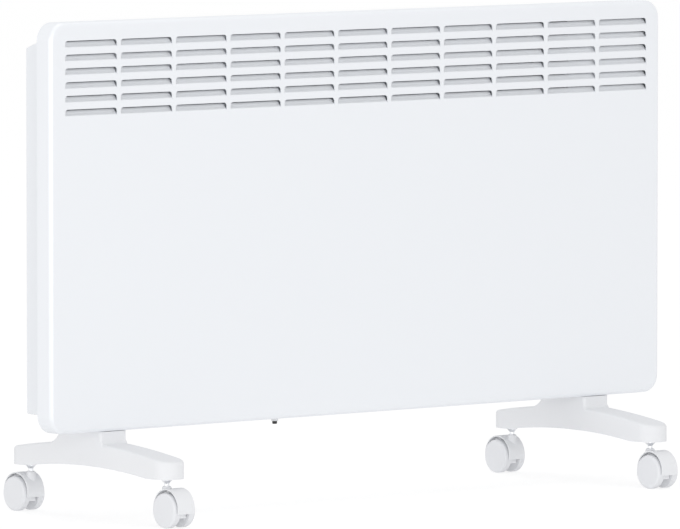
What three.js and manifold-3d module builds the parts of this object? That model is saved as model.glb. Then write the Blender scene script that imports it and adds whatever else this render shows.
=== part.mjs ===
// Panel convector heater on two wheeled feet.
//
// A louvred sheet-steel front cover closes a shallow rear casing that holds a finned
// heating element, its heat shield and the controls. The casing stands on two moulded
// feet, each with two swivelling twin-wheel casters.
//
// Millimetres. +Z is up, the front faces -Y, +X is to the right seen from the front.
// The origin is on the floor, below the middle of the feet.

import * as THREE from "three";
import { mergeVertices } from "three/addons/utils/BufferGeometryUtils.js";
import Module from "manifold-3d";

const wasm = await Module();
wasm.setup();

// ---------------------------------------------------------------- driving dimensions

// Clearance between two pieces that seat on, or slide in, each other.
const SEAT_GAP = 0.3;

// Front cover: a tray of sheet steel, open at the back.
const PANEL_WIDTH = 894;
const PANEL_HEIGHT = 450;
const PANEL_CORNER_RADIUS = 20;
const COVER_DEPTH = 24;
const COVER_EDGE_RADIUS = 4.5;
const COVER_SHEET = 1.2;

// Pressed louvres in the top of the cover: flaps cut free on three sides and bent back.
const LOUVRE_ROWS = 6;
const LOUVRE_COLUMN_PITCH = 78;
const LOUVRE_LEAST_MARGIN = 15;
const LOUVRE_ROW_PITCH = 15;
const LOUVRE_WIDTH = 72.8;
const LOUVRE_HEIGHT = 8.6;
const LOUVRE_TILT_DEG = 42;
const LOUVRE_TOP_MARGIN = 19.9;
const LOUVRE_CORNER = 2.8;
const FLAP_SKIN = 0.1;

// Rear casing: a folded box with a flange that fits inside the cover's rim.
const BODY_DEPTH = 71;
const CASING_SIDE_INSET = 22;
const CASING_RAISE = 18;
const CASING_FRONT_DROP = 14;
const CASING_REAR_DROP = 30;
const CASING_SHEET = 1;
const FLANGE_RECESS = 1.5;

// Air inlets in the casing's floor.
const INLET_ROWS = 2;
const INLET_ROW_PITCH = 14;
const INLET_WIDTH = 60;
const INLET_HEIGHT = 8;
const INLET_REAR_MARGIN = 9;

// Slots in the back that hang the heater on a wall bracket, and cooling slots for the controls.
const HOOK_SLOT_SPACING = 420;
const HOOK_SLOT_WIDTH = 26;
const HOOK_SLOT_HEIGHT = 3.6;
const HOOK_SLOT_CORNER = 1.5;
const HOOK_SLOT_DROP = 100;
const COOLING_SLOTS = 5;
const COOLING_SLOT_PITCH = 9;
const COOLING_SLOT_WIDTH = 46;
const COOLING_SLOT_HEIGHT = 3.5;
const COOLING_SLOT_DROP = 34;

// Heat shield: a tray behind the element, standing off the casing's back.
const SHIELD_SHEET = 0.8;
const SHIELD_STANDOFF = 8;
const SHIELD_HEIGHT = 240;
const SHIELD_LIFT = 24;

// Heating element: an extruded finned bar on two brackets.
const ELEMENT_END_ROOM = 64;
const ELEMENT_LIFT = 68;
const ELEMENT_SETBACK = 32;
const ELEMENT_HUB_RADIUS = 7;
const FIN_ROOT = 5.6;
const FIN_REACH = 27;
const FIN_ANGLE_DEG = 58;
const FIN_THICKNESS = 2;
const RIB_REACH = 4.5;
const RIB_THICKNESS = 1.4;
const RIBS_PER_FIN = 2;
const RIB_PITCH = 7;
const INSULATOR_RADIUS = 5;
const INSULATOR_LENGTH = 13;
const TERMINAL_RADIUS = 2;
const TERMINAL_LENGTH = 9;
const BRACKET_SHEET = 1.5;
const BRACKET_HEIGHT = 34;
const BRACKET_FOOT = 14;
const BRACKET_STANDOFF = 3;

// Overheat cut-out on the shield, above the element.
const CUTOUT_RADIUS = 8;
const CUTOUT_HEIGHT = 9;
const CUTOUT_EAR = 15;
const CUTOUT_LIFT = 52;
const CUTOUT_FROM_END = 210;

// Control housing, behind the right-hand louvres, and its board and connector.
const HOUSING_WIDTH = 110;
const HOUSING_HEIGHT = 104;
const HOUSING_WALL = 2;
const HOUSING_SETBACK = 8.5;
const BOARD_HEIGHT = 70;
const BOARD_THICKNESS = 1.6;
const BOARD_SETBACK = 14;
const RELAY_LENGTH = 20;
const RELAY_HEIGHT = 16;
const RELAY_DEPTH = 14;
const TRANSFORMER_LENGTH = 28;
const TRANSFORMER_HEIGHT = 24;
const TRANSFORMER_DEPTH = 17;
const BOARD_PARTS_MARGIN = 12;
const CONNECTOR_LENGTH = 16;
const CONNECTOR_HEIGHT = 7;
const CONNECTOR_DEPTH = 11;
const CONNECTOR_DROP = 21;
const LATCH_LENGTH = 9.6;
const LATCH_WIDTH = 5;
const LATCH_RISE = 1.6;

// Control face, on the casing's sloping top.
const FACE_SIDE_MARGIN = 5;
const FACE_WIDTH = 34;
const FACE_THICKNESS = 1.6;
const FACE_CORNER = 4;
const FACE_LIP = 4;
const FACE_OPENING_MARGIN = 4;
const DISPLAY_WIDTH = 14;
const DISPLAY_CORNER = 1.5;
const DISPLAY_END_MARGIN = 3;
const DISPLAY_BUTTON_GAP = 3.75;
const DISPLAY_RECESS = 0.4;
const BUTTON_NAMES = ["power", "mode", "down", "up"];
const BUTTON_PITCH = 13.5;
const BUTTON_LENGTH = 10;
const BUTTON_WIDTH = 8;
const BUTTON_CORNER = 2;
const BUTTON_STAND = 1.4;
const BUTTON_SKIRT = 1;
const BUTTON_SKIRT_THICKNESS = 1;
const BUTTON_END_MARGIN = 4.75;

// Mains switch in the casing's right side.
const SWITCH_BELOW_HOUSING = 50;
const SWITCH_FLANGE_HEIGHT = 30;
const SWITCH_FLANGE_DEPTH = 17;
const SWITCH_FLANGE_THICKNESS = 1.8;
const SWITCH_BODY_DEPTH = 14;
const SWITCH_WALL = 1.4;
const SWITCH_RIM = 1.6;
const ROCKER_TILT_DEG = 7;
const ROCKER_PIVOT_DEPTH = 2.2;
const ROCKER_STAND = 2.6;
const ROCKER_BELLY = 3.4;
const ROCKER_DISH = 0.65;
const TRUNNION_RADIUS = 1.2;
const TRUNNION_REACH = 0.8;
const TRUNNION_STEPS = 10;

// Mains terminal block and cord gland, low in the casing's right end.
const BLOCK_LENGTH = 40;
const BLOCK_HEIGHT = 18;
const BLOCK_DEPTH = 16;
const BLOCK_LIFT = 6;
const BLOCK_WAYS = 3;
const BLOCK_HOLE_RADIUS = 3;
const GLAND_FROM_SIDE = 26;
const GLAND_FROM_BACK = 20;
const GLAND_BORE_RADIUS = 4;
const GLAND_SLEEVE_RADIUS = 7;
const GLAND_SLEEVE_LENGTH = 9;
const GLAND_FLANGE_RADIUS = 10.5;
const GLAND_FLANGE_THICKNESS = 3;
const GLAND_NOSE_RADIUS = 6;
const GLAND_NOSE_LENGTH = 5;
const NUT_ACROSS_CORNERS = 22;
const NUT_THICKNESS = 4;

// Room-air sensor: a dark probe in a white sleeve that hangs below the casing's floor.
const SENSOR_X = -103;
const SENSOR_BEHIND_COVER = 7;
const SENSOR_RADIUS = 2.8;
const SENSOR_TIP = 3.4;
const SENSOR_EDGE = 1;
const SLEEVE_LENGTH = 23;
const SLEEVE_WALL = 1;
const SLEEVE_COLLAR = 2.4;
const SLEEVE_COLLAR_THICKNESS = 2;

// Feet: one moulding each, running front to back, a caster at both ends.
const FEET_TO_PANEL_FRONT = 32;
const FOOT_SIDE_INSET = 91.8;
const FOOT_HEIGHT = 46.3;
const FOOT_WIDTH = 37.5;
const STEM_SPACING = 237.4;
const ARCH_HALF_LENGTH = 104;
const ARCH_RISE = 7;
const ARM_ROOT_HEIGHT = 32;
const ARM_END_HEIGHT = 18.8;
const NECK_FRONT = 27;
const NECK_REAR = 42;
const NECK_FRONT_FILLET = 4;
const NECK_REAR_FILLET = 28;
const NECK_COVER_GAP = 0.6;
const FOOT_WALL = 2.8;
const FOOT_CELLS = 3;
const FOOT_CELL_RIB = 2.6;
const SOCKET_WALL = 4;
const FOOT_SCREW_FRONT = 4;
const FOOT_SCREW_SPACING = 24;
const FOOT_SCREW_RADIUS = 3;
const FOOT_SCREW_HEAD_RADIUS = 6;
const FOOT_SCREW_HEAD_HEIGHT = 4;
const FOOT_SCREW_SEAT = 26;
const FOOT_SCREW_END = 7;
const WELD_NUT_RADIUS = 6.5;
const WELD_NUT_HEIGHT = 5;

// Twin-wheel casters.
const CASTER_HEIGHT = 52.7;
const TRAIL = 12.4;
const WHEEL_RADIUS = 19.2;
const WHEEL_EDGE = 2.6;
const WHEEL_OUTER_FACE = 15.2;
const WHEEL_INNER_FACE = 6.3;
const WHEEL_FACE_WALL = 1.8;
const AXLE_RADIUS = 3;
const HUB_WALL = 3;
const HOOD_RADIUS = 21.6;
const HOOD_WALL = 1.5;
const HOOD_HALF_WIDTH = 11.8;
const HOOD_LOWER_EDGE = 16;
const WEB_HALF_WIDTH = 5.2;
const WEB_LOWER_EDGE = 11;
const WEB_RECESS = 3;
const BOSS_RADIUS = 5.2;
const BOSS_TOP = 44.6;
const BOSS_BOTTOM = 28;
const BOSS_CHAMFER = 1.4;
const STEM_WAIST_RADIUS = 2.8;
const STEM_PIN_BOTTOM = 30;
const STEM_CONE_BOTTOM = 47.6;
const STEM_FLANGE_RADIUS = 6.2;
const STEM_FLANGE_THICKNESS = 1.3;
const STEM_SOCKET_RADIUS = 5;
const STEM_SOCKET_LENGTH = 13;

// Facets of round pieces.
const CORNER_STEPS = 4;
const KEY_STEPS = 1;
const SLOT_STEPS = 1;
const FOOT_STEPS = 5;
const WHEEL_STEPS = 22;
const PIN_STEPS = 10;
const HOOD_STEPS = 10;
const GLAND_STEPS = 16;
const SENSOR_STEPS = 14;

// ---------------------------------------------------------------- finishes

function finish(colour, roughness, metalness = 0) {
  return new THREE.MeshStandardMaterial({ color: colour, roughness, metalness });
}

const whiteEnamel = () => finish(0xeff1f5, 0.42);
const whitePlastic = () => finish(0xe9eaed, 0.5);
const wheelPlastic = () => finish(0xe4e5e8, 0.55);
const blackPlastic = () => finish(0x1c1c1e, 0.55);
const greyPlastic = () => finish(0x8e9196, 0.6);
const zincSteel = () => finish(0xb9bcbf, 0.38, 0.9);
const castAluminium = () => finish(0xc2c4c6, 0.5, 0.85);
const ceramic = () => finish(0xe6e0d4, 0.6);
const boardGreen = () => finish(0x2c5a3a, 0.6);
const displayGlass = () => finish(0x15181c, 0.15);

// ---------------------------------------------------------------- shape helpers

// A closed geometry as a solid. Only its positions are kept, with equal ones merged.
function solid(geometry) {
  const bare = new THREE.BufferGeometry();
  bare.setAttribute("position", geometry.getAttribute("position"));
  if (geometry.index) bare.setIndex(geometry.index);
  const merged = mergeVertices(bare, 1e-4);
  const index = merged.index.array;
  const faces = [];
  for (let i = 0; i < index.length; i += 3) {
    const [a, b, c] = [index[i], index[i + 1], index[i + 2]];
    if (a !== b && b !== c && c !== a) faces.push(a, b, c);
  }
  const vertProperties = merged.attributes.position.array;
  const build = (list) =>
    new wasm.Manifold(
      new wasm.Mesh({ numProp: 3, vertProperties, triVerts: new Uint32Array(list) }),
    );
  const made = build(faces);
  return made.volume() > 0 ? made : build(faces.toReversed());
}

function join(first, ...rest) {
  return rest.reduce((sum, piece) => sum.add(piece), first);
}

function cut(first, ...rest) {
  return rest.reduce((left, piece) => left.subtract(piece), first);
}

// A solid's surface as a geometry with flat faces.
function surface(body) {
  const mesh = body.getMesh();
  const indexed = new THREE.BufferGeometry();
  indexed.setAttribute("position", new THREE.BufferAttribute(mesh.vertProperties, 3));
  indexed.setIndex(new THREE.BufferAttribute(mesh.triVerts, 1));
  const flat = indexed.toNonIndexed();
  flat.computeVertexNormals();
  return flat;
}

function piece(parent, name, body, material) {
  const mesh = new THREE.Mesh(surface(body), material);
  mesh.name = name;
  parent.add(mesh);
  return mesh;
}

function polygon(points) {
  return new THREE.Shape(points.map(([a, b]) => new THREE.Vector2(a, b)));
}

function roundedRectangle(width, height, radius, middleA = 0, middleB = 0) {
  const shape = new THREE.Shape();
  const [a, b] = [width / 2, height / 2];
  const quarter = Math.PI / 2;
  const corners = [
    [a - radius, b - radius, 0],
    [radius - a, b - radius, quarter],
    [radius - a, radius - b, 2 * quarter],
    [a - radius, radius - b, 3 * quarter],
  ];
  shape.moveTo(middleA + a, middleB + b - radius);
  for (const [ca, cb, start] of corners) {
    shape.absarc(middleA + ca, middleB + cb, radius, start, start + quarter, false);
  }
  return shape;
}

// A slot with round ends.
function slot(length, height, middleA, middleB) {
  const shape = new THREE.Shape();
  const [reach, radius] = [(length - height) / 2, height / 2];
  shape.absarc(middleA + reach, middleB, radius, -Math.PI / 2, Math.PI / 2, false);
  shape.absarc(middleA - reach, middleB, radius, Math.PI / 2, (3 * Math.PI) / 2, false);
  return shape;
}

function extruded(shape, depth, steps = CORNER_STEPS) {
  return new THREE.ExtrudeGeometry(shape, { depth, bevelEnabled: false, curveSegments: steps });
}

// An outline drawn as (x, y), raised from z0 to z1.
function raised(shape, z0, z1, steps) {
  return solid(extruded(shape, z1 - z0, steps).translate(0, 0, z0));
}

// An outline drawn as (x, z), from y0 back to y1.
function plate(shape, y0, y1, steps) {
  return solid(extruded(shape, y1 - y0, steps).rotateX(Math.PI / 2).translate(0, y1, 0));
}

// A profile drawn as (y, z), from x0 across to x1.
const ALONG_X = new THREE.Matrix4().makeBasis(
  new THREE.Vector3(0, 1, 0),
  new THREE.Vector3(0, 0, 1),
  new THREE.Vector3(1, 0, 0),
);

function rail(shape, x0, x1, steps) {
  return solid(extruded(shape, x1 - x0, steps).applyMatrix4(ALONG_X).translate(x0, 0, 0));
}

function block(x0, x1, y0, y1, z0, z1) {
  const box = new THREE.BoxGeometry(x1 - x0, y1 - y0, z1 - z0);
  return solid(box.translate((x0 + x1) / 2, (y0 + y1) / 2, (z0 + z1) / 2));
}

// A round bar between two heights on a vertical axis.
function post(x, y, z0, z1, radius, steps = PIN_STEPS) {
  const bar = new THREE.CylinderGeometry(radius, radius, z1 - z0, steps);
  return solid(bar.rotateX(Math.PI / 2).translate(x, y, (z0 + z1) / 2));
}

// A round bar across the heater, between two places along X.
function crossbar(y, z, x0, x1, radius, steps = PIN_STEPS) {
  const bar = new THREE.CylinderGeometry(radius, radius, x1 - x0, steps);
  return solid(bar.rotateZ(Math.PI / 2).translate((x0 + x1) / 2, y, z));
}

// A turned piece: (radius, height) points, spun about the vertical axis at x, y.
function turned(points, x, y, steps = PIN_STEPS) {
  const profile = points.map(([radius, height]) => new THREE.Vector2(radius, height));
  const lathe = new THREE.LatheGeometry(profile, steps);
  return solid(lathe.rotateX(Math.PI / 2).translate(x, y, 0));
}

// Equal steps either side of a middle: -1.5, -0.5, 0.5, 1.5 for four.
function centred(count) {
  return Array.from({ length: count }, (_, i) => i - (count - 1) / 2);
}

// ---------------------------------------------------------------- shared places

const footTopZ = CASTER_HEIGHT + FOOT_HEIGHT;
const panelBottom = footTopZ;
const panelTop = panelBottom + PANEL_HEIGHT;
const panelMiddle = (panelBottom + panelTop) / 2;
const frontY = -FEET_TO_PANEL_FRONT;
const coverRearY = frontY + COVER_DEPTH;
const flangeRearY = coverRearY - FLANGE_RECESS;
const flangeFrontY = flangeRearY - CASING_SHEET;
const backY = frontY + BODY_DEPTH;
const backInsideY = backY - CASING_SHEET;
const casingHalf = PANEL_WIDTH / 2 - CASING_SIDE_INSET;
const casingInsideHalf = casingHalf - CASING_SHEET;
const casingBottom = panelBottom + CASING_RAISE;
const casingFloor = casingBottom + CASING_SHEET;
const casingTopFront = panelTop - CASING_FRONT_DROP;
const casingTopRear = panelTop - CASING_REAR_DROP;
const topSlope = Math.atan2(casingTopFront - casingTopRear, backY - flangeFrontY);
const topSheetDrop = CASING_SHEET / Math.cos(topSlope);
const shieldFaceY = backInsideY - SHIELD_STANDOFF;
const shieldFrontY = shieldFaceY - SHIELD_SHEET;
const shieldBottom = casingFloor + SHIELD_LIFT;
const elementY = frontY + ELEMENT_SETBACK;
const elementZ = casingFloor + ELEMENT_LIFT;
const housingRight = casingInsideHalf - SEAT_GAP;
const housingLeft = housingRight - HOUSING_WIDTH;
const housingFrontY = frontY + HOUSING_SETBACK;
const housingTop = casingTopFront - topSheetDrop - SEAT_GAP;
const housingBottom = housingTop - HOUSING_HEIGHT;
const glandX = casingHalf - GLAND_FROM_SIDE;
const glandY = backY - GLAND_FROM_BACK;
const sensorY = coverRearY + SENSOR_BEHIND_COVER;
const switchZ = housingBottom - SWITCH_BELOW_HOUSING;
const switchY = (flangeRearY + backY) / 2;
const footX = PANEL_WIDTH / 2 - FOOT_SIDE_INSET;
const elementHalf = casingInsideHalf - ELEMENT_END_ROOM;
const louvreRoom = PANEL_WIDTH - 2 * LOUVRE_LEAST_MARGIN;
const louvreColumns = Math.floor(louvreRoom / LOUVRE_COLUMN_PITCH);
const inletRoom = 2 * footX - FOOT_WIDTH;
const inletColumns = Math.floor(inletRoom / LOUVRE_COLUMN_PITCH);
const sleeveRadius = SENSOR_RADIUS + SEAT_GAP + SLEEVE_WALL;

// ---------------------------------------------------------------- front cover

// The cover's outside, or with an inset its inside, as a bevelled block.
function coverBlock(inset, depth) {
  const edge = COVER_EDGE_RADIUS - inset;
  const outline = roundedRectangle(
    PANEL_WIDTH - 2 * inset - 2 * edge,
    PANEL_HEIGHT - 2 * inset - 2 * edge,
    PANEL_CORNER_RADIUS - inset - edge,
  );
  const pressed = new THREE.ExtrudeGeometry(outline, {
    depth: depth - edge,
    bevelThickness: edge,
    bevelSize: edge,
    bevelSegments: 2,
    curveSegments: CORNER_STEPS,
  });
  const whole = solid(pressed.rotateX(-Math.PI / 2).translate(0, frontY + inset + edge, 0));
  const behind = block(
    -PANEL_WIDTH,
    PANEL_WIDTH,
    frontY + inset + depth,
    frontY + inset + depth + 2 * COVER_DEPTH,
    -PANEL_HEIGHT,
    PANEL_HEIGHT,
  );
  return cut(whole, behind).translate(0, 0, panelMiddle);
}

// A louvre's outline about the middle of its lower edge, its upper corners cut off.
function louvreOutline(gap) {
  const [end, top] = [LOUVRE_WIDTH / 2 - gap, LOUVRE_HEIGHT - gap];
  return polygon([
    [-end, 0],
    [end, 0],
    [end, top - LOUVRE_CORNER],
    [end - LOUVRE_CORNER, top],
    [LOUVRE_CORNER - end, top],
    [-end, top - LOUVRE_CORNER],
  ]);
}

// A louvre's flap, bent back about its lower edge by the louvres' tilt, so that its root
// is in the sheet below the opening.
function flap() {
  const flat = plate(louvreOutline(SEAT_GAP), FLAP_SKIN, COVER_SHEET);
  return flat.rotate([-LOUVRE_TILT_DEG, 0, 0]);
}

function frontCover() {
  const outside = coverBlock(0, COVER_DEPTH);
  const inside = coverBlock(COVER_SHEET, COVER_DEPTH);
  const opening = plate(louvreOutline(0), -COVER_SHEET, 2 * COVER_SHEET);
  const bentBack = flap();
  const openings = [];
  const flaps = [];
  for (const column of centred(louvreColumns)) {
    for (let row = 0; row < LOUVRE_ROWS; row++) {
      const low = panelTop - LOUVRE_TOP_MARGIN - row * LOUVRE_ROW_PITCH - LOUVRE_HEIGHT;
      const place = [column * LOUVRE_COLUMN_PITCH, frontY, low];
      openings.push(opening.translate(place));
      flaps.push(bentBack.translate(place));
    }
  }
  return join(cut(outside, inside, ...openings), ...flaps);
}

// ---------------------------------------------------------------- rear casing

// The casing's box in profile, from its open front back; an inset gives its inside.
function casingProfile(inset, front) {
  const drop = inset / Math.cos(topSlope);
  const topAt = (y) => casingTopFront - Math.tan(topSlope) * (y - flangeFrontY) - drop;
  const rear = backY - inset;
  return polygon([
    [front, casingBottom + inset],
    [rear, casingBottom + inset],
    [rear, topAt(rear)],
    [front, topAt(front)],
  ]);
}

function flangePlate() {
  const inset = COVER_SHEET + SEAT_GAP;
  const outline = roundedRectangle(
    PANEL_WIDTH - 2 * inset,
    PANEL_HEIGHT - 2 * inset,
    PANEL_CORNER_RADIUS - inset,
    0,
    panelMiddle,
  );
  return plate(outline, flangeFrontY, flangeRearY);
}

function inletSlots() {
  const slots = [];
  for (const column of centred(inletColumns)) {
    for (let row = 0; row < INLET_ROWS; row++) {
      const y = backY - INLET_REAR_MARGIN - INLET_HEIGHT / 2 - row * INLET_ROW_PITCH;
      slots.push(slot(INLET_WIDTH, INLET_HEIGHT, column * LOUVRE_COLUMN_PITCH, y));
    }
  }
  return raised(slots, casingBottom - 1, casingFloor + 1, SLOT_STEPS);
}

function backSlots() {
  const hookZ = casingTopRear - HOOK_SLOT_DROP;
  const hooks = [-0.5, 0.5].map((side) =>
    roundedRectangle(
      HOOK_SLOT_WIDTH,
      HOOK_SLOT_HEIGHT,
      HOOK_SLOT_CORNER,
      side * HOOK_SLOT_SPACING,
      hookZ,
    ),
  );
  const cooling = Array.from({ length: COOLING_SLOTS }, (_, i) =>
    slot(
      COOLING_SLOT_WIDTH,
      COOLING_SLOT_HEIGHT,
      (housingLeft + housingRight) / 2,
      casingTopRear - COOLING_SLOT_DROP - i * COOLING_SLOT_PITCH,
    ),
  );
  return plate([...hooks, ...cooling], backInsideY - 1, backY + 1, SLOT_STEPS);
}

// Calls back once for each of the four foot screws, with its x, y and names.
function eachFootScrew(make) {
  for (const side of [-1, 1]) {
    for (const end of [0, 1]) {
      const name = `${side < 0 ? "left" : "right"}_${end ? "rear" : "front"}`;
      make(side * footX, FOOT_SCREW_FRONT + end * FOOT_SCREW_SPACING, name);
    }
  }
}

function rearCasing() {
  const box = rail(casingProfile(0, flangeFrontY), -casingHalf, casingHalf);
  const inside = casingProfile(CASING_SHEET, flangeFrontY - 1);
  const hollow = rail(inside, -casingInsideHalf, casingInsideHalf);
  const nuts = [];
  const screwHoles = [];
  eachFootScrew((x, y) => {
    const nutTop = casingFloor + WELD_NUT_HEIGHT;
    nuts.push(post(x, y, casingFloor - CASING_SHEET / 2, nutTop, WELD_NUT_RADIUS, 6));
    const radius = FOOT_SCREW_RADIUS + SEAT_GAP;
    screwHoles.push(post(x, y, casingBottom - 1, nutTop + 1, radius));
  });
  const glandHole = post(
    glandX,
    glandY,
    casingBottom - 1,
    casingFloor + 1,
    GLAND_SLEEVE_RADIUS + SEAT_GAP,
    GLAND_STEPS,
  );
  const sensorHole = post(
    SENSOR_X,
    sensorY,
    casingBottom - 1,
    casingFloor + 1,
    sleeveRadius + SEAT_GAP,
  );
  const switchHole = block(
    casingInsideHalf - 1,
    casingHalf + 1,
    switchY - switchBodyDepthY() / 2 - SEAT_GAP,
    switchY + switchBodyDepthY() / 2 + SEAT_GAP,
    switchZ - switchBodyHeight() / 2 - SEAT_GAP,
    switchZ + switchBodyHeight() / 2 + SEAT_GAP,
  );
  const shell = cut(
    join(cut(join(flangePlate(), box), hollow), ...nuts),
    inletSlots(),
    backSlots(),
    ...screwHoles,
    glandHole,
    sensorHole,
    switchHole,
  );
  return cut(shell, faceOpening());
}

// ---------------------------------------------------------------- heating

function heatShield() {
  const [top, wallY] = [shieldBottom + SHIELD_HEIGHT, backInsideY - SEAT_GAP];
  const t = SHIELD_SHEET;
  const tray = polygon([
    [wallY, shieldBottom],
    [wallY, shieldBottom + t],
    [shieldFaceY, shieldBottom + t],
    [shieldFaceY, top - t],
    [wallY, top - t],
    [wallY, top],
    [shieldFrontY, top],
    [shieldFrontY, shieldBottom],
  ]);
  const half = casingInsideHalf - SEAT_GAP;
  return rail(tray, -half, half);
}

// One fin's outline, from the hub out along one side, round the tip and back, with
// short ribs that stand square to it.
function finOutline(angle) {
  const [along, across] = [
    [Math.cos(angle), Math.sin(angle)],
    [-Math.sin(angle), Math.cos(angle)],
  ];
  const at = (reach, offset) => [
    elementY + along[0] * reach + across[0] * offset,
    elementZ + along[1] * reach + across[1] * offset,
  ];
  const half = FIN_THICKNESS / 2;
  const side = (sign) => {
    const points = [at(FIN_ROOT, sign * half)];
    for (let rib = 1; rib <= RIBS_PER_FIN; rib++) {
      const middle = ELEMENT_HUB_RADIUS + rib * RIB_PITCH;
      const [near, far] = [middle - RIB_THICKNESS / 2, middle + RIB_THICKNESS / 2];
      points.push(at(near, sign * half));
      points.push(at(near, sign * (half + RIB_REACH)));
      points.push(at(far, sign * (half + RIB_REACH)));
      points.push(at(far, sign * half));
    }
    points.push(at(FIN_REACH, sign * half));
    return points;
  };
  return polygon([...side(-1), ...side(1).toReversed()]);
}

function heatingElement() {
  const hub = crossbar(elementY, elementZ, -elementHalf, elementHalf, ELEMENT_HUB_RADIUS);
  const lean = THREE.MathUtils.degToRad(FIN_ANGLE_DEG);
  const angles = [lean, Math.PI - lean, Math.PI + lean, -lean];
  return join(hub, ...angles.map((angle) => rail(finOutline(angle), -elementHalf, elementHalf)));
}

// The element's end: a ceramic insulator that sits in its bracket, and its terminal.
function elementTerminal(side) {
  const start = elementHalf + SEAT_GAP;
  const middle = start + INSULATOR_LENGTH;
  const profile = [
    [0, start],
    [INSULATOR_RADIUS, start],
    [INSULATOR_RADIUS, middle],
    [TERMINAL_RADIUS, middle],
    [TERMINAL_RADIUS, middle + TERMINAL_LENGTH],
    [0, middle + TERMINAL_LENGTH],
  ];
  const points = profile.map(([radius, x]) => new THREE.Vector2(radius, x));
  const lathe = new THREE.LatheGeometry(points, PIN_STEPS);
  return solid(lathe.rotateZ((-side * Math.PI) / 2).translate(0, elementY, elementZ));
}

function elementBracket(side) {
  const near = elementHalf + SEAT_GAP + BRACKET_STANDOFF;
  const far = near + BRACKET_SHEET;
  const wallY = shieldFrontY - SEAT_GAP;
  const reach = elementY - INSULATOR_RADIUS - BRACKET_SHEET * 3;
  const [low, high] = [elementZ - BRACKET_HEIGHT / 2, elementZ + BRACKET_HEIGHT / 2];
  const tab = roundedRectangle(
    wallY - reach,
    BRACKET_HEIGHT,
    BRACKET_SHEET * 2,
    (wallY + reach) / 2,
    elementZ,
  );
  const [x0, x1] = side < 0 ? [-far, -near] : [near, far];
  const upright = rail(tab, x0, x1, 3);
  const footFar = side * (far + BRACKET_FOOT);
  const foot = block(
    Math.min(side * near, footFar),
    Math.max(side * near, footFar),
    wallY - BRACKET_SHEET,
    wallY,
    low,
    high,
  );
  const hole = crossbar(
    elementY,
    elementZ,
    x0 - 1,
    x1 + 1,
    INSULATOR_RADIUS + SEAT_GAP,
  );
  return cut(join(upright, foot), hole);
}

function thermalCutout() {
  const wallY = shieldFrontY - SEAT_GAP;
  const x = elementHalf - CUTOUT_FROM_END;
  const z = elementZ + CUTOUT_LIFT;
  const base = plate(slot(CUTOUT_EAR * 2, CUTOUT_RADIUS, x, z), wallY - SHIELD_SHEET, wallY);
  const disc = new THREE.CylinderGeometry(CUTOUT_RADIUS, CUTOUT_RADIUS, CUTOUT_HEIGHT, PIN_STEPS);
  return join(base, solid(disc.translate(x, wallY - CUTOUT_HEIGHT / 2, z)));
}

// ---------------------------------------------------------------- controls

// The housing is a tray, open to the casing's top and back.
function controlHousing() {
  const rearY = backInsideY - SEAT_GAP;
  const topAt = (y) => housingTop - Math.tan(topSlope) * (y - flangeFrontY);
  const side = polygon([
    [housingFrontY, housingBottom],
    [rearY, housingBottom],
    [rearY, topAt(rearY)],
    [flangeFrontY, housingTop],
    [housingFrontY, housingTop],
  ]);
  const inside = polygon([
    [housingFrontY + HOUSING_WALL, housingBottom + HOUSING_WALL],
    [rearY + 1, housingBottom + HOUSING_WALL],
    [rearY + 1, housingTop + 1],
    [housingFrontY + HOUSING_WALL, housingTop + 1],
  ]);
  const hollow = rail(inside, housingLeft + HOUSING_WALL, housingRight - HOUSING_WALL);
  return cut(rail(side, housingLeft, housingRight), hollow);
}

function controlBoard() {
  const y = housingFrontY + BOARD_SETBACK;
  const face = y + BOARD_THICKNESS / 2;
  const x0 = housingLeft + HOUSING_WALL + SEAT_GAP;
  const x1 = housingRight - HOUSING_WALL - SEAT_GAP;
  const z0 = housingBottom + HOUSING_WALL + SEAT_GAP;
  const board = block(x0, x1, y, y + BOARD_THICKNESS, z0, z0 + BOARD_HEIGHT);
  const low = z0 + BOARD_PARTS_MARGIN;
  const relayLeft = x0 + BOARD_PARTS_MARGIN;
  const relay = block(
    relayLeft,
    relayLeft + RELAY_LENGTH,
    face,
    face + RELAY_DEPTH,
    low,
    low + RELAY_HEIGHT,
  );
  const transformerRight = x1 - BOARD_PARTS_MARGIN;
  const transformer = block(
    transformerRight - TRANSFORMER_LENGTH,
    transformerRight,
    face,
    face + TRANSFORMER_DEPTH,
    low,
    low + TRANSFORMER_HEIGHT,
  );
  return join(board, relay, transformer);
}

function wireConnector() {
  const x1 = housingLeft - SEAT_GAP;
  const z1 = panelTop - CONNECTOR_DROP;
  const y0 = housingFrontY + SEAT_GAP;
  const z0 = z1 - CONNECTOR_HEIGHT;
  const shell = block(x1 - CONNECTOR_LENGTH, x1, y0, y0 + CONNECTOR_DEPTH, z0, z1);
  const latchY = y0 + (CONNECTOR_DEPTH - LATCH_WIDTH) / 2;
  const latch = block(x1 - LATCH_LENGTH, x1, latchY, latchY + LATCH_WIDTH, z1 - 1, z1 + LATCH_RISE);
  return join(shell, latch);
}

// The control face and its keys are drawn flat, then turned onto the casing's slope:
// local x runs along the heater, local y down the slope and local z out of it.
const faceMiddleX = (housingLeft + housingRight) / 2;
const faceMiddleY = (flangeRearY + backY) / 2;
const faceMiddleZ = casingTopFront - Math.tan(topSlope) * (faceMiddleY - flangeFrontY);

function onSlope(body) {
  const turn = new THREE.Matrix4().makeRotationX(-topSlope);
  turn.setPosition(faceMiddleX, faceMiddleY, faceMiddleZ);
  return body.transform(turn.toArray());
}

const faceLength = HOUSING_WIDTH - 2 * FACE_SIDE_MARGIN;
const faceOpeningLength = faceLength - 2 * FACE_OPENING_MARGIN;
const faceOpeningWidth = FACE_WIDTH - 2 * FACE_OPENING_MARGIN;

function faceOpening() {
  const outline = roundedRectangle(faceOpeningLength, faceOpeningWidth, FACE_CORNER / 2);
  return onSlope(raised(outline, -3 * CASING_SHEET, CASING_SHEET, KEY_STEPS));
}

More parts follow.
